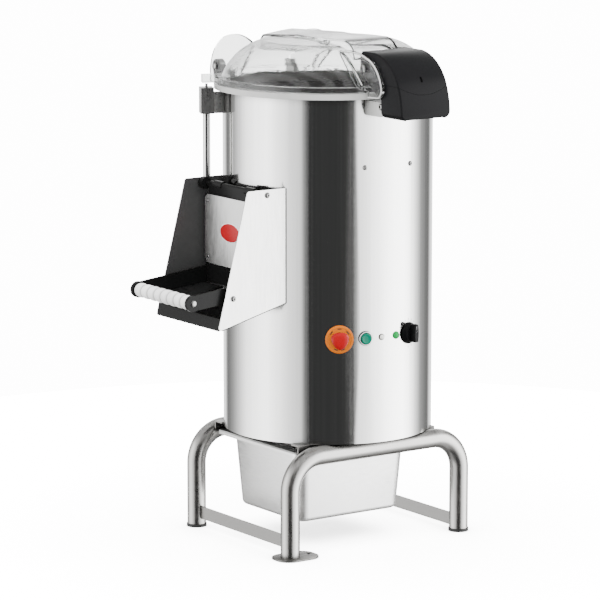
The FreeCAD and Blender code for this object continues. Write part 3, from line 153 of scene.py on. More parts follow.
def slab(name, points, depth):
    """Extrude a closed outline by a vector."""
    piece = trace(name, points)
    bpy.ops.mesh.extrude_region_move(TRANSFORM_OT_translate={"value": depth})
    tidy_normals()
    bpy.ops.object.mode_set(mode="OBJECT")
    return piece


def bead(name, points, radius):
    """Round bead along a line of points, in millimetres."""
    line = bpy.data.curves.new(name, "CURVE")
    line.dimensions = "3D"
    line.bevel_depth = radius * MM
    line.bevel_resolution = 2
    line.use_fill_caps = True
    spline = line.splines.new("POLY")
    spline.points.add(len(points) - 1)
    for spot, point in zip(spline.points, points):
        spot.co = (*mm(*point), 1)
    tube = bpy.data.objects.new(name, line)
    bpy.context.scene.collection.objects.link(tube)
    pick(tube)
    bpy.ops.object.convert(target="MESH")
    return bpy.context.object


def bevel_edges(piece, wanted, width, segments=4):
    """Round the edges whose two ends pass a test, given in millimetres."""
    bpy.ops.object.mode_set(mode="EDIT")
    bpy.ops.mesh.select_all(action="DESELECT")
    bpy.ops.mesh.select_mode(type="EDGE")
    bpy.ops.object.mode_set(mode="OBJECT")
    verts = piece.data.vertices
    for edge in piece.data.edges:
        a, b = (verts[i].co / MM for i in edge.vertices)
        edge.select = bool(wanted(a, b))
    bpy.ops.object.mode_set(mode="EDIT")
    bpy.ops.mesh.bevel(offset=width * MM, segments=segments, affect="EDGES")
    bpy.ops.mesh.select_mode(type="VERT")
    bpy.ops.object.mode_set(mode="OBJECT")


def sharp_bevel(piece, width, segments=3, angle=30):
    """Round every sharp edge with a modifier, and apply it."""
    rounding = piece.modifiers.new("rounding", "BEVEL")
    rounding.width = width * MM
    rounding.segments = segments
    rounding.limit_method = "ANGLE"
    rounding.angle_limit = math.radians(angle)
    bpy.ops.object.modifier_apply(modifier=rounding.name)


def thicken(piece, wall):
    """Give a skin a wall, inward, with a modifier, and apply it."""
    skin = piece.modifiers.new("wall", "SOLIDIFY")
    skin.thickness = wall * MM
    skin.offset = -1
    bpy.ops.object.modifier_apply(modifier=skin.name)


def place(piece, matrix):
    pick(piece)
    piece.matrix_world = matrix
    bpy.ops.object.transform_apply(location=True, rotation=True, scale=True)
    return piece


def copy_of(piece, name, matrix):
    twin = piece.copy()
    twin.data = piece.data.copy()
    twin.name = twin.data.name = name
    bpy.context.scene.collection.objects.link(twin)
    return place(twin, matrix)


def on_drum(angle, z, reach=0.0):
    """Place on the drum's wall: X to the side, Y up, Z outward."""
    a = math.radians(angle)
    side = Vector((math.cos(a), math.sin(a), 0))
    out = Vector((math.sin(a), -math.cos(a), 0))
    spot = out * (DRUM_RADIUS + reach) * MM + Vector((0, 0, z * MM))
    turn = Matrix((side, Vector((0, 0, 1)), out)).transposed().to_4x4()
    return Matrix.Translation(spot) @ turn


def facing(spot, direction):
    """Place at a spot, with Z turned to a direction."""
    turn = Vector((0, 0, 1)).rotation_difference(Vector(direction)).to_matrix().to_4x4()
    return Matrix.Translation(spot) @ turn


def fit(piece, body, slot, finish, *nodes):
    """Shade a piece, give it its finish and hang it on its body."""
    pick(piece)
    bpy.ops.object.shade_smooth_by_angle(angle=SMOOTH_ANGLE)
    piece.data.materials.clear()
    piece.data.materials.append(FINISHES[finish].material)
    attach(piece, body)
    if nodes:
        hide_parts(*nodes)
    return piece


# Finishes

class NodeTree:
    """The nodes of a material or a world, built step by step."""

    def __init__(self, owner):
        owner.use_nodes = True
        self.nodes = owner.node_tree.nodes
        self.links = owner.node_tree.links

    def add(self, kind, inputs=(), **settings):
        node = self.nodes.new("ShaderNode" + kind)
        for key, value in settings.items():
            setattr(node, key, value)
        for key, value in dict(inputs).items():
            if hasattr(value, "links"):
                self.links.new(value, node.inputs[key])
            else:
                node.inputs[key].default_value = value
        return node

    def maths(self, kind, *values):
        node = self.add("Math", enumerate(values), operation=kind)
        return node.outputs[0]

    def spread(self, value, low, high, start=0.3, end=0.7):
        """Map a value between start and end to one between low and high."""
        node = self.add("MapRange", {"Value": value, "From Min": start, "From Max": end,
                                     "To Min": low, "To Max": high})
        return node.outputs["Result"]

    def blend(self, share, first, second):
        node = self.add("Mix", {"Factor": share}, data_type="RGBA")
        for slot, colour in ((6, first), (7, second)):
            if hasattr(colour, "links"):
                self.links.new(colour, node.inputs[slot])
            else:
                node.inputs[slot].default_value = (*colour, 1)
        return node.outputs[2]


class Finish(NodeTree):
    """One material, with its main shader."""

    def __init__(self, name, **sockets):
        self.material = bpy.data.materials.new(name)
        super().__init__(self.material)
        self.shader = self.nodes["Principled BSDF"]
        for socket, value in sockets.items():
            self.shader.inputs[socket.replace("_", " ")].default_value = value

    def position(self):
        return self.add("TexCoord").outputs["Object"]

    def noise(self, stretch, detail=3.0):
        """Noise in the piece's own space, in cycles per metre on each axis."""
        place = self.add("Mapping", {"Vector": self.position(), "Scale": stretch})
        noise = self.add("TexNoise", {"Vector": place.outputs[0], "Scale": 1.0, "Detail": detail})
        return noise.outputs["Fac"]

    def relief(self, height, depth, round_edges=0.0):
        bump = self.add("Bump", {"Height": height, "Strength": 1.0, "Distance": depth})
        if round_edges:
            edge = self.add("Bevel", {"Radius": round_edges}, samples=4)
            self.links.new(edge.outputs["Normal"], bump.inputs["Normal"])
        self.drive("Normal", bump.outputs["Normal"])

    def drive(self, socket, value):
        self.links.new(value, self.shader.inputs[socket])

    def shadow(self, colour, reach, depth=0.3):
        """Painted shade: darken a colour in corners and seams nearer than the reach."""
        open_share = self.add("AmbientOcclusion", {"Distance": reach}, samples=8).outputs["AO"]
        dark = self.blend(1.0 - depth, colour, (0, 0, 0))
        return self.blend(self.spread(open_share, 0.0, 1.0, 0.35, 0.85), dark, colour)


def shade(colour, factor):
    return tuple(min(1.0, c * factor) for c in colour)


def brushed(name, colour, rough, grain, depth=0.000003, edge=0.0006, tone=0.08):
    """Brushed steel: fine lines along the grain over slow clouds in the sheen."""
    finish = Finish(name, Metallic=1.0)
    lines = finish.noise(grain, detail=4.0)
    clouds = finish.noise((5, 5, 5), detail=2.0)
    grained = finish.blend(finish.spread(lines, 0, 1), shade(colour, 1 - tone), colour)
    # Painted shade darkens the brushed steel in corners and seams.
    finish.drive("Base Color", finish.shadow(grained, 0.02))
    sheen = finish.spread(lines, rough * 0.85, rough * 1.15)
    finish.drive("Roughness", finish.maths("ADD", sheen, finish.spread(clouds, -0.02, 0.03)))
    finish.relief(lines, depth, edge)
    return finish


def coated(name, colour, rough, grain=900.0, depth=0.000006, edge=0.0008, **sockets):
    """Paint, plastic or rubber with a fine skin and slow changes in gloss."""
    finish = Finish(name, **sockets)
    skin = finish.noise((grain, grain, grain), detail=3.0)
    clouds = finish.noise((11, 11, 11), detail=5.0)
    tone = finish.spread(clouds, 0, 1)
    finish.drive("Base Color", finish.blend(tone, shade(colour, 0.88), shade(colour, 1.1)))
    finish.drive("Roughness", finish.spread(clouds, rough * 0.88, rough * 1.15))
    finish.relief(skin, depth, edge)
    return finish


def clear(name, colour, rough, haze, edge=0.0012):
    """Clear moulded plastic with a little haze and faint flow marks."""
    finish = Finish(name, IOR=1.5, Transmission_Weight=1.0 - haze)
    flow = finish.noise((14, 14, 14), detail=3.0)
    finish.drive("Base Color", finish.blend(finish.spread(flow, 0, 1), shade(colour, 0.97), colour))
    finish.drive("Roughness", finish.spread(flow, rough * 0.7, rough * 1.5))
    finish.relief(flow, 0.0008, edge)
    return finish


def ridged(name, colour, rough):
    """White moulded sleeve, with painted shade down in its grooves."""
    groove, crest = 0.0118, 0.0142
    finish = coated(name, colour, rough, 300)
    split = finish.add("SeparateXYZ", {0: finish.position()}).outputs
    x = finish.maths("SUBTRACT", split["X"], HANDLE[0] * MM)
    z = finish.maths("SUBTRACT", split["Z"], HANDLE[1] * MM)
    squares = [finish.maths("MULTIPLY", part, part) for part in (x, z)]
    radius = finish.maths("SQRT", finish.maths("ADD", *squares))
    skin = finish.shader.inputs["Base Color"].links[0].from_socket
    # Painted shade: the white falls to 0.3 of itself towards the grooves' floor.
    height = finish.spread(radius, 0.0, 1.0, groove, crest)
    finish.drive("Base Color", finish.blend(height, shade(colour, 0.3), skin))
    return finish


def drum_steel(name, colour):
    """Rolled stainless sheet, polished round the drum, with slight upright waves."""
    finish = Finish(name, Metallic=1.0)
    lines = finish.noise((3, 3, 1400), detail=3.0)
    waves = finish.noise((38, 38, 0.6), detail=3.0)
    wave_depth, line_depth = 0.00006, 0.0000012
    streaks = finish.noise((260, 260, 1.5), detail=4.0)
    tone = finish.spread(streaks, 0, 1)
    streaked = finish.blend(tone, shade(colour, 0.9), colour)
    # Painted shade darkens the drum's steel near the rim, controls and cheeks.
    finish.drive("Base Color", finish.shadow(streaked, 0.03, 0.35))
    finish.drive("Roughness", finish.maths("ADD", finish.spread(streaks, 0.085, 0.125),
                                           finish.spread(lines, -0.01, 0.015)))
    height = finish.maths("ADD", finish.maths("MULTIPLY", waves, wave_depth),
                          finish.maths("MULTIPLY", lines, line_depth))
    finish.relief(height, 1.0)
    return finish


def sheet_shaded_inside(name, colour, inner, reach):
    """Satin sheet outside, painted shade on the faces nearer the middle than the reach: dark and not
    metal.
    """
    finish = brushed(name, colour, 0.42, (260, 260, 24), edge=0.0008)
    middle = finish.maths("ABSOLUTE", finish.add("SeparateXYZ", {0: finish.position()}).outputs["Y"])
    # Painted shade on the inner faces, masked by distance from the middle.
    inside = finish.spread(middle, 1.0, 0.0, reach - 0.0003, reach)
    steel = finish.shader.inputs["Base Color"].links[0].from_socket
    finish.drive("Base Color", finish.blend(inside, steel, inner))
    finish.drive("Metallic", finish.maths("SUBTRACT", 1.0, inside))
    return finish


def hood_plastic(name, colour):
    """Satin black moulding with a curved crease across its front."""
    finish = Finish(name, Specular_IOR_Level=0.045)
    clouds = finish.noise((12, 12, 12), detail=5.0)
    skin = finish.noise((1500, 1500, 1500))
    finish.drive("Base Color", finish.blend(clouds, shade(colour, 0.8), shade(colour, 1.25)))
    finish.drive("Roughness", finish.spread(clouds, 0.30, 0.36))
    bend, crease_z, crease_depth, crease_width, skin_depth = 4.6, 0.962, 0.0006, 0.0011, 0.000006
    split = finish.add("SeparateXYZ", {0: finish.position()}).outputs
    square = finish.maths("POWER", finish.maths("ABSOLUTE", split["X"]), 2.0)
    bow = finish.maths("MULTIPLY", square, bend)
    line = finish.maths("SUBTRACT", split["Z"], finish.maths("ADD", bow, crease_z))
    crease = finish.spread(finish.maths("ABSOLUTE", line), 0.0, crease_depth, 0.0, crease_width)
    finish.relief(finish.maths("ADD", crease, finish.maths("MULTIPLY", skin, skin_depth)), 1.0, 0.0015)
    return finish


class PeelerColours(bpy.types.PropertyGroup):
    """Colours of the finishes."""

    steel: bpy.props.FloatVectorProperty(
        name="Stainless", description="Colour of the drum and sheet steel",
        default=(0.80, 0.80, 0.79), size=3, min=0, max=1, subtype="COLOR")
    tube: bpy.props.FloatVectorProperty(
        name="Stand", description="Colour of the stand's tubes and bars",
        default=(0.42, 0.413, 0.40), size=3, min=0, max=1, subtype="COLOR")
    black: bpy.props.FloatVectorProperty(
        name="Black plastic", description="Colour of the latch hood and knob",
        default=(0.006, 0.006, 0.0065), size=3, min=0, max=1, subtype="COLOR")
    paint: bpy.props.FloatVectorProperty(
        name="Black paint", description="Colour of the lever, arms and chute",
        default=(0.006, 0.006, 0.006), size=3, min=0, max=1, subtype="COLOR")
    lid: bpy.props.FloatVectorProperty(
        name="Lid", description="Tint of the clear lid",
        default=(0.93, 0.935, 0.93), size=3, min=0, max=1, subtype="COLOR")
    rim: bpy.props.FloatVectorProperty(
        name="Rim", description="Colour of the rubber rim",
        default=(0.42, 0.42, 0.41), size=3, min=0, max=1, subtype="COLOR")
    grip: bpy.props.FloatVectorProperty(
        name="Grip", description="Colour of the handle's sleeve",
        default=(0.86, 0.86, 0.85), size=3, min=0, max=1, subtype="COLOR")
    stop: bpy.props.FloatVectorProperty(
        name="Stop head", description="Colour of the stop button",
        default=(0.26, 0.0018, 0.003), size=3, min=0, max=1, subtype="COLOR")
    collar: bpy.props.FloatVectorProperty(
        name="Stop collar", description="Colour of the ring behind the stop button",
        default=(0.44, 0.105, 0.0), size=3, min=0, max=1, subtype="COLOR")
    start: bpy.props.FloatVectorProperty(
        name="Start button", description="Colour of the start button",
        default=(0.0, 0.13, 0.08), size=3, min=0, max=1, subtype="COLOR")
    lamp: bpy.props.FloatVectorProperty(
        name="Running lamp", description="Colour of the running lamp",
        default=(0.0, 0.22, 0.045), size=3, min=0, max=1, subtype="COLOR")
    badge: bpy.props.FloatVectorProperty(
        name="Badge", description="Colour of the plain oval on the door",
        default=(0.30, 0.004, 0.007), size=3, min=0, max=1, subtype="COLOR")


NODE_FINISHES = {
    "drum": ["drum_shell"],
    "sheet": ["base_plate", "drain_floor", "outlet_frame", "rod_bracket", "motor_mount"],
    "tube": ["arch_front", "arch_rear"],
    "bar": ["crossbars", "rails"],
    "bracket": ["rod_block"],
    "hinge": ["keeper_bracket", "hinge_brackets"],
    "cheek": ["chute_cheeks"],
    "plate": ["door_plate"],
    "bolt": ["housing_bolts", "hinge_bolts", "door_fasteners", "bearings", "latch_spring",
             "latch_hooks", "disc_nut", "handle_rod"],
    "rod": ["drive_shaft", "interlock_rod"],
    "cast": ["bearing_housing", "driven_pulley", "motor_pulley", "peeling_disc"],
    "rubber": ["foot_caps", "shaft_seal", "drive_belt", "door_seal"],
    "rim": ["drum_rim"],
    "paint": ["lever_yoke", "door_bar", "door_cam", "chute_floor"],
    "case": ["contactor_box", "switch_blocks", "cable_gland"],
    "motor": ["motor_body"],
    "lid": ["lid_dome"],
    "grit": ["abrasive_lining", "disc_grit"],
    "stem": ["stop_stem"],
    "chrome": ["water_inlet"],
}


class PEELER_OT_finishes(bpy.types.Operator):
    """Make every finish and put it on the frame's own pieces"""

    bl_idname = "peeler.finishes"
    bl_label = "Finishes"

    def execute(self, context):
        c = context.scene.peeler_colours
        steel, tube = tuple(c.steel), tuple(c.tube)
        FINISHES.update({
            "drum": drum_steel("drum steel", steel),
            "sheet": brushed("sheet steel", steel, 0.3, (30, 500, 500)),
            "foot": brushed("anchor steel", shade(tube, 0.5), 0.4, (300, 40, 300)),
            "hinge": brushed("hinge steel", shade(steel, 0.5), 0.3, (300, 300, 40)),
            "pan": brushed("pan steel", shade(steel, 1.1), 0.42, (60, 60, 400), edge=0.001),
            "tube": brushed("stand tube", tube, 0.3, (60, 300, 60), edge=0.0),
            "bar": brushed("stand bar", shade(tube, 0.7), 0.36, (40, 300, 300)),
            "bracket": brushed("bracket steel", shade(steel, 0.36), 0.3, (300, 300, 40)),
            # The cheeks' inner faces get painted shade instead of steel.
            "cheek": sheet_shaded_inside("cheek steel", shade(steel, 1.15), (0.036, 0.036, 0.036), 0.1158),
            "plate": brushed("door steel", steel, 0.4, (300, 300, 30)),
            "bolt": brushed("bolt steel", (0.3, 0.3, 0.295), 0.24, (200, 200, 200)),
            "rod": brushed("rod steel", (0.66, 0.66, 0.65), 0.14, (80, 80, 80)),
            "chrome": brushed("chrome ring", (0.78, 0.78, 0.78), 0.12, (90, 90, 90)),
            "cast": brushed("cast aluminium", (0.55, 0.55, 0.54), 0.48, (150, 150, 150),
                            depth=0.0001),
            "rubber": coated("black rubber", (0.012, 0.012, 0.012), 0.6, 500),
            "rim": coated("rim rubber", tuple(c.rim), 0.3, 200),
            "paint": coated("black paint", tuple(c.paint), 0.3, 700, Specular_IOR_Level=0.1),
            "knob": coated("black knob", shade(tuple(c.black), 0.6), 0.3, 1400, depth=0.00001,
                           Specular_IOR_Level=0.06),
            "hood": hood_plastic("hood plastic", tuple(c.black)),
            "case": coated("grey case", (0.05, 0.052, 0.055), 0.45),
            "motor": coated("motor paint", (0.03, 0.05, 0.08), 0.4),
            "lid": clear("clear lid", tuple(c.lid), 0.04, 0.012),
            "trim": coated("lid trim", (0.52, 0.52, 0.51), 0.2, 300),
            "grip": ridged("white nylon", tuple(c.grip), 0.42),
            "grit": coated("grit", (0.075, 0.072, 0.068), 0.85, 260, depth=0.0006),
            "collar": coated("orange plastic", tuple(c.collar), 0.34, Specular_IOR_Level=0.15),
            "mark": coated("dark print", (0.03, 0.02, 0.01), 0.5),
            # Near-black, as painted shade inside the hood's slot.
            "slot": coated("black slot", (0.001, 0.001, 0.001), 0.6, Specular_IOR_Level=0.02),
            "stop": coated("red plastic", tuple(c.stop), 0.22, Specular_IOR_Level=0.18),
            "stem": coated("grey plastic", (0.2, 0.2, 0.2), 0.4),
            "start": coated("green plastic", tuple(c.start), 0.22, Specular_IOR_Level=0.15),
            "print": coated("grey print", (0.16, 0.16, 0.16), 0.5),
            "lamp": coated("green lens", tuple(c.lamp), 0.12, Emission_Color=(0.0, 1.0, 0.15, 1),
                           Emission_Strength=0.12, Specular_IOR_Level=0.1),
            "lens": coated("pale lens", (0.82, 0.82, 0.78), 0.12),
            "badge": coated("badge red", tuple(c.badge), 0.3, Specular_IOR_Level=0.2),
            "badge_rim": coated("badge rim", (0.8, 0.8, 0.8), 0.3),
        })
        for key, names in NODE_FINISHES.items():
            for name in names:
                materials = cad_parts[name].data.materials
                materials.clear()
                materials.append(FINISHES[key].material)
        return {"FINISHED"}


class PEELER_OT_hood(bpy.types.Operator):
    """Latch hood with rounded cheeks, open underneath, and its slot"""

    bl_idname = "peeler.hood"
    bl_label = "Latch hood"

    half_width = 62.0
    corner = 14.0
    face, side, back = -343.8, -275.0, -207.0
    low, top = 912.0, 1042.0
    wall = 3.0

    def execute(self, context):
        rim = -LID_RADIUS
        front = [(self.back, self.top), (rim - 11, self.top)]
        front += arc(front[-1], (self.face + 47, self.top - 18), (self.face + 17, LID_TOP + 21), 10)
        front += arc(front[-1], (self.face + 5, LID_TOP - 10), (self.face, LID_TOP - 40), 6)
        front.append((self.face, self.low))
        behind = [(self.side, self.low), (self.side, 950.0), (rim - 2, LID_TOP + 5),
                  (self.back, LID_TOP + 30)]
        outline = [mm(-self.half_width, y, z) for y, z in front + behind]
        hood = slab("hood_shell", outline, mm(2 * self.half_width, 0, 0))
        edges = {(round(y, 2), round(z, 2)) for y, z in front}

        def on_front(v):
            low_face = abs(v.y - self.face) < 0.01 and v.z < LID_TOP - 40
            return low_face or (round(v.y, 2), round(v.z, 2)) in edges

        def along(a, b):
            low = self.low + self.corner + 0.1
            return abs(a.x - b.x) < 1e-3 or max(a.z, b.z) < low

        bevel_edges(hood, lambda a, b: max(a.z, b.z) < self.low + 1 and abs(a.x - b.x) < 1e-3,
                    self.corner, 6)
        bevel_edges(hood, lambda a, b: along(a, b) and on_front(a) and on_front(b), 4.0, 5)
        self.open_back(hood)
        thicken(hood, self.wall)
        fit(hood, "hood", "black_plastic", "hood", "latch_hood")
        self.slot()
        self.screws()
        return {"FINISHED"}

    def open_back(self, hood):
        """Take out the faces under the hood and behind it."""
        bpy.ops.object.mode_set(mode="EDIT")
        bpy.ops.mesh.select_all(action="DESELECT")
        bpy.ops.mesh.select_mode(type="FACE")
        bpy.ops.object.mode_set(mode="OBJECT")
        for face in hood.data.polygons:
            across = abs(face.normal.x) < 0.1
            face.select = across and (face.normal.z < -0.5 or face.normal.y > 0.3)
        bpy.ops.object.mode_set(mode="EDIT")
        bpy.ops.mesh.delete(type="FACE")
        bpy.ops.mesh.select_mode(type="VERT")
        bpy.ops.object.mode_set(mode="OBJECT")

    def slot(self):
        # Painted shade: a near-black slab stands in for the shade inside the hood's slot.
        points = [mm(x, y, 0) for x, y in rounded(1.6, 6.0, 1.5, 4)]
        slot = slab("hood_slot", points, mm(0, 0, 1.2))
        sharp_bevel(slot, 0.3, 2)
        tilt = Vector((0, -0.86, 0.51))
        up = Vector((0, 0.51, 0.86))
        turn = Matrix((Vector((1, 0, 0)), up, tilt)).transposed().to_4x4()
        place(slot, Matrix.Translation(mm(0, -326.6, 991.6)) @ turn)
        fit(slot, "hood", "black_plastic", "slot")

    def screws(self):
        spot = HOOD_PIVOT
        profile = [(0, 4.0), (2.0, 4.0), (2.4, 5.6), (3.6, 5.6), (4.2, 4.2), (6.2, 3.4), (6.8, 4.2),
                   (8.0, 4.2), (8.6, 3.2), (8.6, 0.0), (0, 0)]
        screw = lathe("pivot_screw_right", profile, 40)
        twin = copy_of(screw, "pivot_screw_left", facing(mm(-EAR_FACE, *spot), (-1, 0, 0)))
        place(screw, facing(mm(EAR_FACE, *spot), (1, 0, 0)))
        fit(screw, "lid", "steel", "bolt", "latch_screws")
        fit(twin, "lid", "steel", "bolt", "latch_screws")


class PEELER_OT_ear_trim(bpy.types.Operator):
    """Raised rims and ribs on the lid's front ears"""

    bl_idname = "peeler.ear_trim"
    bl_label = "Ear trim"

    def execute(self, context):
        rim = -LID_RADIUS
        z = LID_TOP
        tip = rim - 50
        edge = [(rim + 98, z + 66), (rim + 62, z + 67.4)]
        edge += arc(edge[-1], (rim + 28, z + 66), (rim - 10, z + 55), 8)
        edge += arc(edge[-1], (tip + 14, z + 32), (tip + 2, z + 3), 8)
        edge += arc(edge[-1], (tip + 3.5, z - 8), (tip + 14, z - 17), 6)
        edge.append((rim - 3, z - 18.4))
        rib = [(rim + 70, z + 50), (rim + 40, z + 28), (rim + 18, z + 4)]
        for side in (-1, 1):
            tag = "left" if side < 0 else "right"
            for name, line, radius in (("rim", edge, 1.7), ("rib", rib, 1.5)):
                points = [(side * 70.0, y, z) for y, z in line]
                fit(bead(f"ear_{name}_{tag}", points, radius), "lid", "clear_lid", "trim")
        return {"FINISHED"}


class PEELER_OT_cheek_shade_lines(bpy.types.Operator):
    """Painted shade: dark beads along the chute's cheeks, against the drum and underneath, for the
    shade in those seams
    """

    bl_idname = "peeler.edging"
    bl_label = "Cheek edging"

    def execute(self, context):
        line = ((-187.0, 761.0), (-187.0, 522.9), (-343.9, 481.4))
        for side in (-1, 1):
            tag = "front" if side < 0 else "rear"
            points = [(x, side * 117.3, z) for x, z in line]
            # Painted shade: the beads take the black rubber finish only to look dark.
            fit(bead(f"cheek_shade_line_{tag}", points, 0.9), "machine_frame", "black_rubber", "rubber")
        return {"FINISHED"}


class PEELER_OT_pan(bpy.types.Operator):
    """Waste pan with soft corners and a rolled rim"""

    bl_idname = "peeler.pan"
    bl_label = "Waste pan"

    middle = -21.5
    floor_z, rim_z, rim_drop = 54.0, 212.0, 11.0
    floor_half = (127.5, 113.0)
    body_half = (138.5, 126.0)
    rim_half = (162.5, 150.0)
    wall = 1.5

    def execute(self, context):
        loops = [
            (self.floor_half, 22.0, self.floor_z),
            (self.body_half, 26.0, self.rim_z - 3),
            ((self.body_half[0] + 3, self.body_half[1] + 3), 28.0, self.rim_z),
            ((self.rim_half[0] - 2.5, self.rim_half[1] - 2.5), 12.0, self.rim_z),
            (self.rim_half, 14.0, self.rim_z - 3),
            (self.rim_half, 14.0, self.rim_z - self.rim_drop + 2),
        ]
        pan = self.ring_stack(loops)
        floor = self.floor_z

        def low(a, b):
            return a.z < floor + 0.1 and b.z < floor + 0.1

        bevel_edges(pan, low, 9.0, 5)
        thicken(pan, self.wall)
        fit(pan, "pan", "brushed_stainless", "pan", "waste_pan")
        return {"FINISHED"}

    def ring_stack(self, loops):
        """Fill the first loop, then carry its edge through the others."""
        half, corner, z = loops[0]
        points = [mm(self.middle + x, y, z) for x, y in rounded(*half, corner)]
        pan = trace("pan", points)
        count = len(points)
        for half, corner, z in loops[1:]:
            bpy.ops.object.mode_set(mode="OBJECT")
            keep = set(range(len(pan.data.vertices) - count, len(pan.data.vertices)))
            for v in pan.data.vertices:
                v.select = v.index in keep
            for e in pan.data.edges:
                e.select = set(e.vertices) <= keep
            for f in pan.data.polygons:
                f.select = False
            bpy.ops.object.mode_set(mode="EDIT")
            bpy.ops.mesh.extrude_edges_move(TRANSFORM_OT_translate={"value": (0, 0, 0)})
            bpy.ops.object.mode_set(mode="OBJECT")
            moved = [v for v in pan.data.vertices if v.select]
            spots = [mm(self.middle + x, y, z) for x, y in rounded(*half, corner)]
            self.settle(moved, spots)
            bpy.ops.object.mode_set(mode="EDIT")
        tidy_normals()
        bpy.ops.object.mode_set(mode="OBJECT")
        return pan

    def settle(self, moved, spots):
        """Move each corner to the spot at its own turn about the pan's middle."""
        def turn(p):
            return math.atan2(p[1], p[0] - self.middle * MM)
        for v, spot in zip(sorted(moved, key=lambda v: turn(v.co)), sorted(spots, key=turn)):
            v.co = spot


class PEELER_OT_anchor(bpy.types.Operator):
    """Floor plates with round ends under the front left and rear right legs"""

    bl_idname = "peeler.anchor"
    bl_label = "Anchor plates"

    def execute(self, context):
        middle = Matrix.Translation(mm(-204.5, -176.0, 0))
        points = [mm(x, y, 0) for x, y in rounded(48.5, 35.0, 29.0, 8)]
        plate = slab("anchor_plate_front", points, mm(0, 0, 4.0))
        hole = lathe("hole", [(0, -2), (4.5, -2), (4.5, 6), (0, 6)], 24)
        place(hole, Matrix.Translation(mm(32.5, 0, 0)))
        pick(plate)
        bore = plate.modifiers.new("bore", "BOOLEAN")
        bore.object = hole
        bpy.ops.object.modifier_apply(modifier=bore.name)
        bpy.data.objects.remove(hole)
        sharp_bevel(plate, 0.7, 2)
        place(plate, middle)
        twin = copy_of(plate, "anchor_plate_rear", Matrix.Rotation(math.pi, 4, "Z"))
        fit(plate, "machine_frame", "brushed_stainless", "foot", "anchor_plates")
        fit(twin, "machine_frame", "brushed_stainless", "foot", "anchor_plates")
        return {"FINISHED"}


class PEELER_OT_bolts(bpy.types.Operator):
    """Domed socket screws on the chute's cheeks, the keeper and the drum"""

    bl_idname = "peeler.bolts"
    bl_label = "Screws"

    def execute(self, context):
        bolt = self.head("cheek_bolt_1", 6.0, 3.5, 2.3)
        spots = [(x, side * CHEEK_FACE, z, side) for x, z in (DOOR_PIVOT, GUIDE) for side in (-1, 1)]
        for i, (x, y, z, side) in enumerate(spots[1:], start=2):
            twin = copy_of(bolt, f"cheek_bolt_{i}", facing(mm(x, y, z), (0, side, 0)))
            fit(twin, "machine_frame", "steel", "bolt")
        x, y, z, side = spots[0]
        place(bolt, facing(mm(x, y, z), (0, side, 0)))
        fit(bolt, "machine_frame", "steel", "bolt", "cheek_bolts")
        for tag, side in (("left", -1), ("right", 1)):
            head = self.head(f"keeper_head_{tag}", 6.8, 3.0, 2.8)
            place(head, facing(mm(side * 57.5, -268.0, 934.0), (side, 0, 0)))
            fit(head, "machine_frame", "steel", "bolt")
        screw = self.head("drum_screw_left", 5.2, 3.0, 2.2)
        twin = copy_of(screw, "drum_screw_right", on_drum(15.0, 804.0, 0.1))
        place(screw, on_drum(-15.0, 804.0, 0.1))
        fit(screw, "machine_frame", "steel", "bolt", "drum_screws")
        fit(twin, "machine_frame", "steel", "bolt", "drum_screws")
        return {"FINISHED"}

    def head(self, name, radius, height, socket):
        """Domed head with a hexagon socket."""
        floor = height - 1.8
        edge = arc((radius, 0.6), (radius * 0.82, height * 0.62), (radius * 0.5, height), 6)
        profile = [(0, 0), (radius, 0), (radius, 0.6), *edge, (socket, height),
                   (socket * 0.96, floor), (0, floor)]
        head = lathe(name, profile, 48)
        for v in head.data.vertices:
            r = math.hypot(v.co.x, v.co.y) / MM
            if 0.5 < r < socket + 0.1 and v.co.z > 1.0 * MM:
                t = math.atan2(v.co.y, v.co.x) % (TURN / 6) - TURN / 12
                flat = math.cos(TURN / 12) / math.cos(t) * 1.1
                v.co.x *= flat
                v.co.y *= flat
        return head


class PEELER_OT_grip(bpy.types.Operator):
    """White ridged sleeve on the handle"""

    bl_idname = "peeler.grip"
    bl_label = "Handle grip"

    half_length, radius, groove, bore, rings = 98.6, 15.0, 3.0, 6.5, 8

    def execute(self, context):
        step = 2 * self.half_length / self.rings
        end = self.half_length
        profile = [(self.bore, -end), (self.radius - 3.2, -end)]
        for i in range(self.rings):
            y = -end + i * step
            for k in range(1, 9):
                t = k / 8
                swell = math.sin(math.pi * t) ** 0.6
                profile.append((self.radius - self.groove * (1 - swell), y + t * step))
        profile[-1] = (self.radius - 3.2, end)
        profile += [(self.bore, end)]
        grip = lathe("grip", profile, 48)
        place(grip, facing(mm(HANDLE[0], 0, HANDLE[1]), (0, 1, 0)))
        fit(grip, "grip", "white_nylon", "grip", "handle_grip")
        return {"FINISHED"}


class PEELER_OT_badge(bpy.types.Operator):
    """Plain red oval with a pale rim on the door"""

    bl_idname = "peeler.badge"
    bl_label = "Door badge"

    centre = (12.0, 656.0)
    half_width, half_height = 37.0, 20.5

    def oval(self, name, grow, depth):
        count = 64
        points = []
        for i in range(count):
            t = TURN * i / count
            y = self.centre[0] + (self.half_width + grow) * math.cos(t)
            z = self.centre[1] + (self.half_height + grow) * math.sin(t)
            points.append(mm(-238.0, y, z))
        return slab(name, points, mm(-depth, 0, 0))

    def execute(self, context):
        rim = self.oval("badge_rim", 0.0, 0.7)
        sharp_bevel(rim, 0.25, 2)
        fit(rim, "door", "white_nylon", "badge_rim")
        face = self.oval("badge_face", -1.6, 1.3)
        sharp_bevel(face, 0.5, 3)
        fit(face, "door", "red_plastic", "badge")
        return {"FINISHED"}


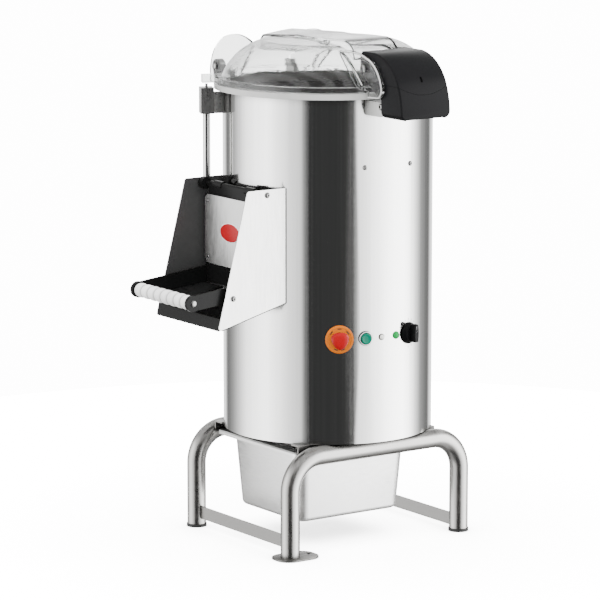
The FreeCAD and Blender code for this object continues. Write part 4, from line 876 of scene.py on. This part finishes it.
class PEELER_OT_hanger(bpy.types.Operator):
    """Black folded strip that hangs the door on its bar"""

    bl_idname = "peeler.hanger"
    bl_label = "Door hanger"

    half_length = 90.0

    def execute(self, context):
        x, z = DOOR_PIVOT
        points = [(x - 4.4, z + 6.4), (x - 7.0, z + 3.0), (x - 7.2, z - 6.0), (-238.6, 735.0),
                  (-238.6, 729.0), (-236.6, 729.0), (-236.6, 736.0), (x - 5.7, z - 5.0),
                  (x - 5.7, z + 3.0), (x - 3.6, z + 5.4)]
        points = [mm(a, -self.half_length, b) for a, b in points]
        strip = slab("door_hanger", points, mm(0, 2 * self.half_length, 0))
        sharp_bevel(strip, 0.3, 2, 50)
        fit(strip, "door", "black_paint", "paint")
        return {"FINISHED"}


class PEELER_OT_stop_button(bpy.types.Operator):
    """Stop button with three finger lobes, over its orange collar"""

    bl_idname = "peeler.stop_button"
    bl_label = "Stop button"

    lobe_start, lobe_reach = 8.5, 11.0

    def execute(self, context):
        collar = lathe("stop_collar", [(11, 0.3), (29.3, 0.3), (29.3, 2.0), (28.4, 3.1), (27.2, 3.5),
                                       (24.6, 3.5), (24.1, 3.1), (17.0, 3.1), (16.4, 3.5), (11, 3.5),
                                       (11, 0.3)], 96)
        place(collar, on_drum(STOP_ANGLE, CONTROL_Z))
        fit(collar, "machine_frame", "yellow_plastic", "collar", "stop_collar")
        self.arrows()
        self.head()
        return {"FINISHED"}

    def head(self):
        """Mushroom whose edge swells into three lobes."""
        profile = [(8.1, 9.5), (17.0, 9.5), (19.0, 10.6), (19.5, 12.6), (19.3, 15.0), (18.2, 17.6),
                   (16.4, 19.4), (13.6, 20.6), (9.5, 21.4), (5.0, 21.8), (0, 22.0)]
        head = lathe("stop_head", profile, 96)
        for v in head.data.vertices:
            r = math.hypot(v.co.x, v.co.y) / MM
            if r > self.lobe_start:
                t = math.atan2(v.co.y, v.co.x) + math.radians(90)
                share = (r - self.lobe_start) / self.lobe_reach
                pull = 0.14 * (0.5 - 0.5 * math.cos(3 * t)) * share
                v.co.x *= 1 - pull
                v.co.y *= 1 - pull
        place(head, on_drum(STOP_ANGLE, CONTROL_Z))
        fit(head, "stop_twist", "red_plastic", "stop", "stop_head")

    def arrows(self):
        """Dark turning marks round the collar."""
        outer, inner, half = 23.4, 21.2, 11.0
        for i, middle in enumerate((40, 90, 140, 250, 290)):
            angles = [math.radians(middle - half + 2 * half * k / 8) for k in range(9)]
            ring = [(outer * math.cos(t), outer * math.sin(t)) for t in angles]
            ring += [(inner * math.cos(t), inner * math.sin(t)) for t in reversed(angles)]
            mark = slab(f"collar_mark_{i + 1}", [mm(x, y, 3.0) for x, y in ring], mm(0, 0, 0.35))
            place(mark, on_drum(STOP_ANGLE, CONTROL_Z))
            fit(mark, "machine_frame", "black_plastic", "mark")


class PEELER_OT_start_button(bpy.types.Operator):
    """Green start button in its pale ring"""

    bl_idname = "peeler.start_button"
    bl_label = "Start button"

    def execute(self, context):
        base = lathe("start_base", [(11.4, 0.3), (15.0, 0.3), (15.0, 2.6), (14.6, 3.1), (11.4, 3.1),
                                    (11.4, 0.3)], 72)
        place(base, on_drum(START_ANGLE, CONTROL_Z))
        fit(base, "machine_frame", "black_plastic", "knob", "start_bezel")
        ring = lathe("start_ring", [(11.4, 2.6), (14.7, 2.6), (14.7, 3.6), (13.8, 4.4), (12.8, 4.5),
                                    (11.8, 3.9), (11.4, 2.6)], 72)
        place(ring, on_drum(START_ANGLE, CONTROL_Z))
        fit(ring, "machine_frame", "black_plastic", "chrome")
        button = lathe("start_button", [(0, 7.3), (4.0, 7.4), (7.6, 7.9), (8.6, 8.4), (9.6, 8.5),
                                        (10.6, 8.0), (11.0, 7.0), (11.0, 0.5), (0, 0.5)], 72)
        place(button, on_drum(START_ANGLE, CONTROL_Z))
        fit(button, "start", "green_plastic", "start", "start_button")
        return {"FINISHED"}


class PEELER_OT_lamps(bpy.types.Operator):
    """Two lamps, each a domed lens in a bright ring"""

    bl_idname = "peeler.lamps"
    bl_label = "Lamps"

    def execute(self, context):
        kinds = (("white_lamp", 6.6, "lens", "mark", 0.78), ("green_lamp", 8.0, "lamp", "lamp", 0.94))
        for (name, radius, lens_finish, ring_finish, share), angle in zip(kinds, LAMP_ANGLES):
            reach = radius * share
            ring = lathe(f"{name}_ring", [(reach - 0.4, 0.2), (radius, 0.2), (radius, 1.2),
                                          (radius - 0.4, 1.9), (reach - 0.1, 1.8),
                                          (reach - 0.4, 0.2)], 48)
            place(ring, on_drum(angle, CONTROL_Z))
            fit(ring, "machine_frame", "lamp_lens", ring_finish)
            dome = arc((reach, 1.2), (reach * 0.74, 5.0), (0.0, 6.6), 8)
            lens = lathe(f"{name}_lens", [(0, 0.3), (reach, 0.3), (reach, 1.2), *dome], 48)
            place(lens, on_drum(angle, CONTROL_Z))
            fit(lens, "machine_frame", "lamp_lens", lens_finish, "pilot_lamps")
        return {"FINISHED"}


class PEELER_OT_knob(bpy.types.Operator):
    """Timer knob with its pointer bar, and the dial marks round it"""

    bl_idname = "peeler.knob"
    bl_label = "Timer knob"

    def execute(self, context):
        skirt = lathe("knob_skirt", [(0, 1.0), (22.3, 1.0), (22.5, 2.2), (21.6, 4.6), (19.8, 6.4),
                                     (18.2, 8.0), (17.4, 10.5), (0, 10.5)], 72)
        place(skirt, on_drum(KNOB_ANGLE, CONTROL_Z))
        fit(skirt, "timer", "black_plastic", "knob", "timer_knob")
        bar = [(-5.0, -17.5), (5.0, -17.5)] + arc((5.0, -17.5), (6.6, 0), (5.0, 17.5), 8)
        bar += arc(bar[-1], (0, 20.6), (-5.0, 17.5), 8)
        bar += arc(bar[-1], (-6.6, 0), (-5.0, -17.5), 8)[:-1]
        grip = slab("knob_bar", [mm(x, y, 8.0) for x, y in bar], mm(0, 0, 15.5))
        sharp_bevel(grip, 1.4, 4)
        place(grip, on_drum(KNOB_ANGLE, CONTROL_Z))
        fit(grip, "timer", "black_plastic", "knob")
        points = [mm(x, y, 23.2) for x, y in rounded(0.6, 7.0, 0.5, 3)]
        line = slab("knob_line", points, mm(0, 0, 0.3))
        place(line, on_drum(KNOB_ANGLE, CONTROL_Z) @ Matrix.Translation(mm(0, 9.0, 0)))
        fit(line, "timer", "white_nylon", "badge_rim")
        self.marks()
        return {"FINISHED"}

    def marks(self):
        """Short strokes round the knob, each laid on the drum's curve."""
        for i in range(13):
            turn = math.radians(-60 + 20 * i)
            radius = 28.5 if i % 3 else 29.0
            x, y = radius * math.sin(turn), radius * math.cos(turn)
            half = 1.3 if i % 3 else 2.2
            points = [mm(a, b, 0.05) for a, b in rounded(0.35, half, 0.3, 2)]
            stroke = slab(f"dial_mark_{i + 1:02d}", points, mm(0, 0, 0.2))
            spot = on_drum(KNOB_ANGLE + math.degrees(x / DRUM_RADIUS), CONTROL_Z + y)
            place(stroke, spot @ Matrix.Rotation(-turn, 4, "Z"))
            fit(stroke, "machine_frame", "black_paint", "print")


class PEELER_OT_stage(bpy.types.Operator):
    """Pale floor, soft studio surround and the camera"""

    bl_idname = "peeler.stage"
    bl_label = "Stage"

    # Surround: degrees to the right of the camera, and brightness
    panels = [
        (-180, 2.4), (-158, 2.4), (-146, 0.22), (-136, 0.35), (-125, 0.7), (-114, 1.5),
        (-100, 3.4), (-83, 4.6), (-70, 5.0), (-55, 3.3), (-42, 2.1), (-29, 1.5), (-26, 0.08),
        (-16, 0.05), (16, 0.05), (21, 0.07), (29.5, 0.12), (31.3, 2.6), (45, 3.4), (60, 5.6),
        (75, 8.0), (92, 9.0), (102, 6.5), (112, 2.4), (123, 0.6), (136, 0.28), (146, 0.2),
        (158, 2.4), (180, 2.4),
    ]
    soft_light = 2.7
    # Light seen through the lid: off to the sides, level, and straight ahead
    through_lid = (0.35, 1.1, 6.0)
    ahead = (0.5611, 0.8088, -0.1757)
    # Height bands of the surround, as the upward part of a ray's direction
    sky_edge, ground_edge = (0.45, 0.62), (-0.36, -0.66)
    sky_levels, soft_levels = (0.22, 1.8), (0.45, 1.6)
    white = 18.0
    # Floor: radius, reach of its painted contact shadow, and its dimmer glow near the middle, painted
    # shade round the machine
    floor_radius, floor_shadow, paper_near = 1.6, 0.1, 11.0
    # Camera: millimetres, metres, and degrees up from straight down
    sensor, lens = 36.0, 217.6
    camera_spot, camera_tilt = (-4.339, -6.153, 1.837), 79.88

    def execute(self, context):
        self.surround(context.scene)
        self.floor()
        self.camera(context.scene)
        return {"FINISHED"}

    def surround(self, scene):
        world = bpy.data.worlds.new("studio")
        scene.world = world
        tree = NodeTree(world)
        ray = tree.add("TexCoord").outputs["Generated"]
        split = tree.add("SeparateXYZ", {0: ray}).outputs
        upward = split["Z"]
        ramp = self.ring(tree, split)
        above = tree.spread(upward, 0.0, 1.0, *self.sky_edge)
        rings = tree.add("TexWave", {"Vector": ray, "Scale": 1.1, "Distortion": 3.0})
        sky = tree.spread(rings.outputs["Fac"], *self.sky_levels, 0.35, 0.65)
        below = tree.spread(upward, 0.0, 0.85, *self.ground_edge)
        mirror = tree.nodes["Background"]
        mixed = tree.blend(above, tree.blend(below, ramp, (0.1, 0.1, 0.1)), sky)
        tree.links.new(mixed, mirror.inputs["Color"])
        height = tree.spread(upward, *self.soft_levels, -0.7, 0.9)
        soft = tree.add("Background", {"Color": height, "Strength": self.soft_light})
        seen = tree.add("Background", {"Strength": self.white})
        through = tree.add("Background", {"Strength": self.lid_light(tree, ray, upward)})
        rays = tree.add("LightPath").outputs
        light = mirror.outputs[0]
        for kind, other in (("Diffuse", soft), ("Transmission", through), ("Camera", seen)):
            mix = tree.add("MixShader", {0: rays[f"Is {kind} Ray"], 1: light, 2: other.outputs[0]})
            light = mix.outputs[0]
        tree.links.new(light, tree.nodes["World Output"].inputs["Surface"])

    def ring(self, tree, split):
        """Brightness of the panels round the camera's axis."""
        front = tree.maths("MULTIPLY", split["Y"], -1.0)
        angle = tree.maths("ARCTAN2", split["X"], front)
        zero = math.radians(CAMERA_AZIMUTH) - math.pi
        share = tree.maths("DIVIDE", tree.maths("SUBTRACT", angle, zero), TURN)
        ramp = tree.add("ValToRGB", {0: tree.maths("FRACT", share)})
        stops = ramp.color_ramp.elements
        for i, (degrees, level) in enumerate(self.panels):
            stop = stops[i] if i < 2 else stops.new((degrees + 180) / 360)
            stop.position = (degrees + 180) / 360
            stop.color = (level, level, level, 1)
        return ramp.outputs["Color"]

    def lid_light(self, tree, ray, upward):
        """Strength of what is seen through the lid in a ray's direction."""
        dim, level, bright = self.through_lid
        toward = tree.add("VectorMath", {0: ray, 1: self.ahead}, operation="DOT_PRODUCT")
        glow = tree.spread(toward.outputs["Value"], dim, bright, 0.95, 0.988)
        tilt = tree.maths("ABSOLUTE", tree.maths("ADD", upward, 0.25))
        band = tree.spread(tilt, dim, level, 0.45, 0.28)
        return tree.maths("MAXIMUM", glow, band)

    def floor(self):
        deselect()
        bpy.ops.mesh.primitive_circle_add(vertices=96, radius=self.floor_radius, fill_type="NGON",
                                          location=(0, 0, 0))
        floor = bpy.context.object
        floor.name = "floor"
        finish = Finish("floor paper", Roughness=0.9)
        finish.relief(finish.noise((300, 300, 300)), 0.00001)
        # Painted shadow: the floor's glow dims near the middle and next to parts.
        near = finish.add("AmbientOcclusion", {"Distance": self.floor_shadow}, samples=8)
        far = finish.add("VectorMath", {0: finish.position()}, operation="LENGTH")
        paper = finish.spread(far.outputs["Value"], self.paper_near, self.white - 2.0, 0.3, 1.2)
        open_share = finish.spread(near.outputs["AO"], 0.08, 1.0, 0.15, 0.95)
        finish.shader.inputs["Base Color"].default_value = (0.8, 0.8, 0.8, 1)
        finish.shader.inputs["Emission Color"].default_value = (1, 1, 1, 1)
        finish.drive("Emission Strength", finish.maths("MULTIPLY", paper, open_share))
        floor.data.materials.append(finish.material)
        floor.visible_diffuse = False
        floor.visible_glossy = False

    def camera(self, scene):
        data = bpy.data.cameras.new("camera")
        camera = bpy.data.objects.new("camera", data)
        scene.collection.objects.link(camera)
        data.sensor_width = self.sensor
        data.lens = self.lens
        camera.location = self.camera_spot
        camera.rotation_euler = (math.radians(self.camera_tilt), 0, math.radians(CAMERA_AZIMUTH))
        scene.camera = camera


STEPS = [
    "finishes", "hood", "ear_trim", "pan", "anchor", "bolts", "grip", "badge", "hanger",
    "edging", "stop_button", "start_button", "lamps", "knob", "stage",
]


class PEELER_PT_panel(bpy.types.Panel):
    """Lists the peeler's operators and colours"""

    bl_label = "Peeler"
    bl_idname = "PEELER_PT_panel"
    bl_space_type = "VIEW_3D"
    bl_region_type = "UI"
    bl_category = "Peeler"

    def draw(self, context):
        for name in STEPS:
            self.layout.operator("peeler." + name)
        for key in PeelerColours.__annotations__:
            self.layout.prop(context.scene.peeler_colours, key)


CLASSES = [
    PeelerColours, PEELER_OT_finishes, PEELER_OT_hood, PEELER_OT_ear_trim, PEELER_OT_pan,
    PEELER_OT_anchor, PEELER_OT_bolts, PEELER_OT_grip, PEELER_OT_badge, PEELER_OT_hanger,
    PEELER_OT_cheek_shade_lines, PEELER_OT_stop_button, PEELER_OT_start_button, PEELER_OT_lamps,
    PEELER_OT_knob, PEELER_OT_stage, PEELER_PT_panel,
]


def register():
    for cls in CLASSES:
        bpy.utils.register_class(cls)
    bpy.types.Scene.peeler_colours = bpy.props.PointerProperty(type=PeelerColours)


def unregister():
    del bpy.types.Scene.peeler_colours
    for cls in reversed(CLASSES):
        bpy.utils.unregister_class(cls)


def main():
    register()
    for name in STEPS:
        getattr(bpy.ops.peeler, name)()


if __name__ == "__main__":
    main()
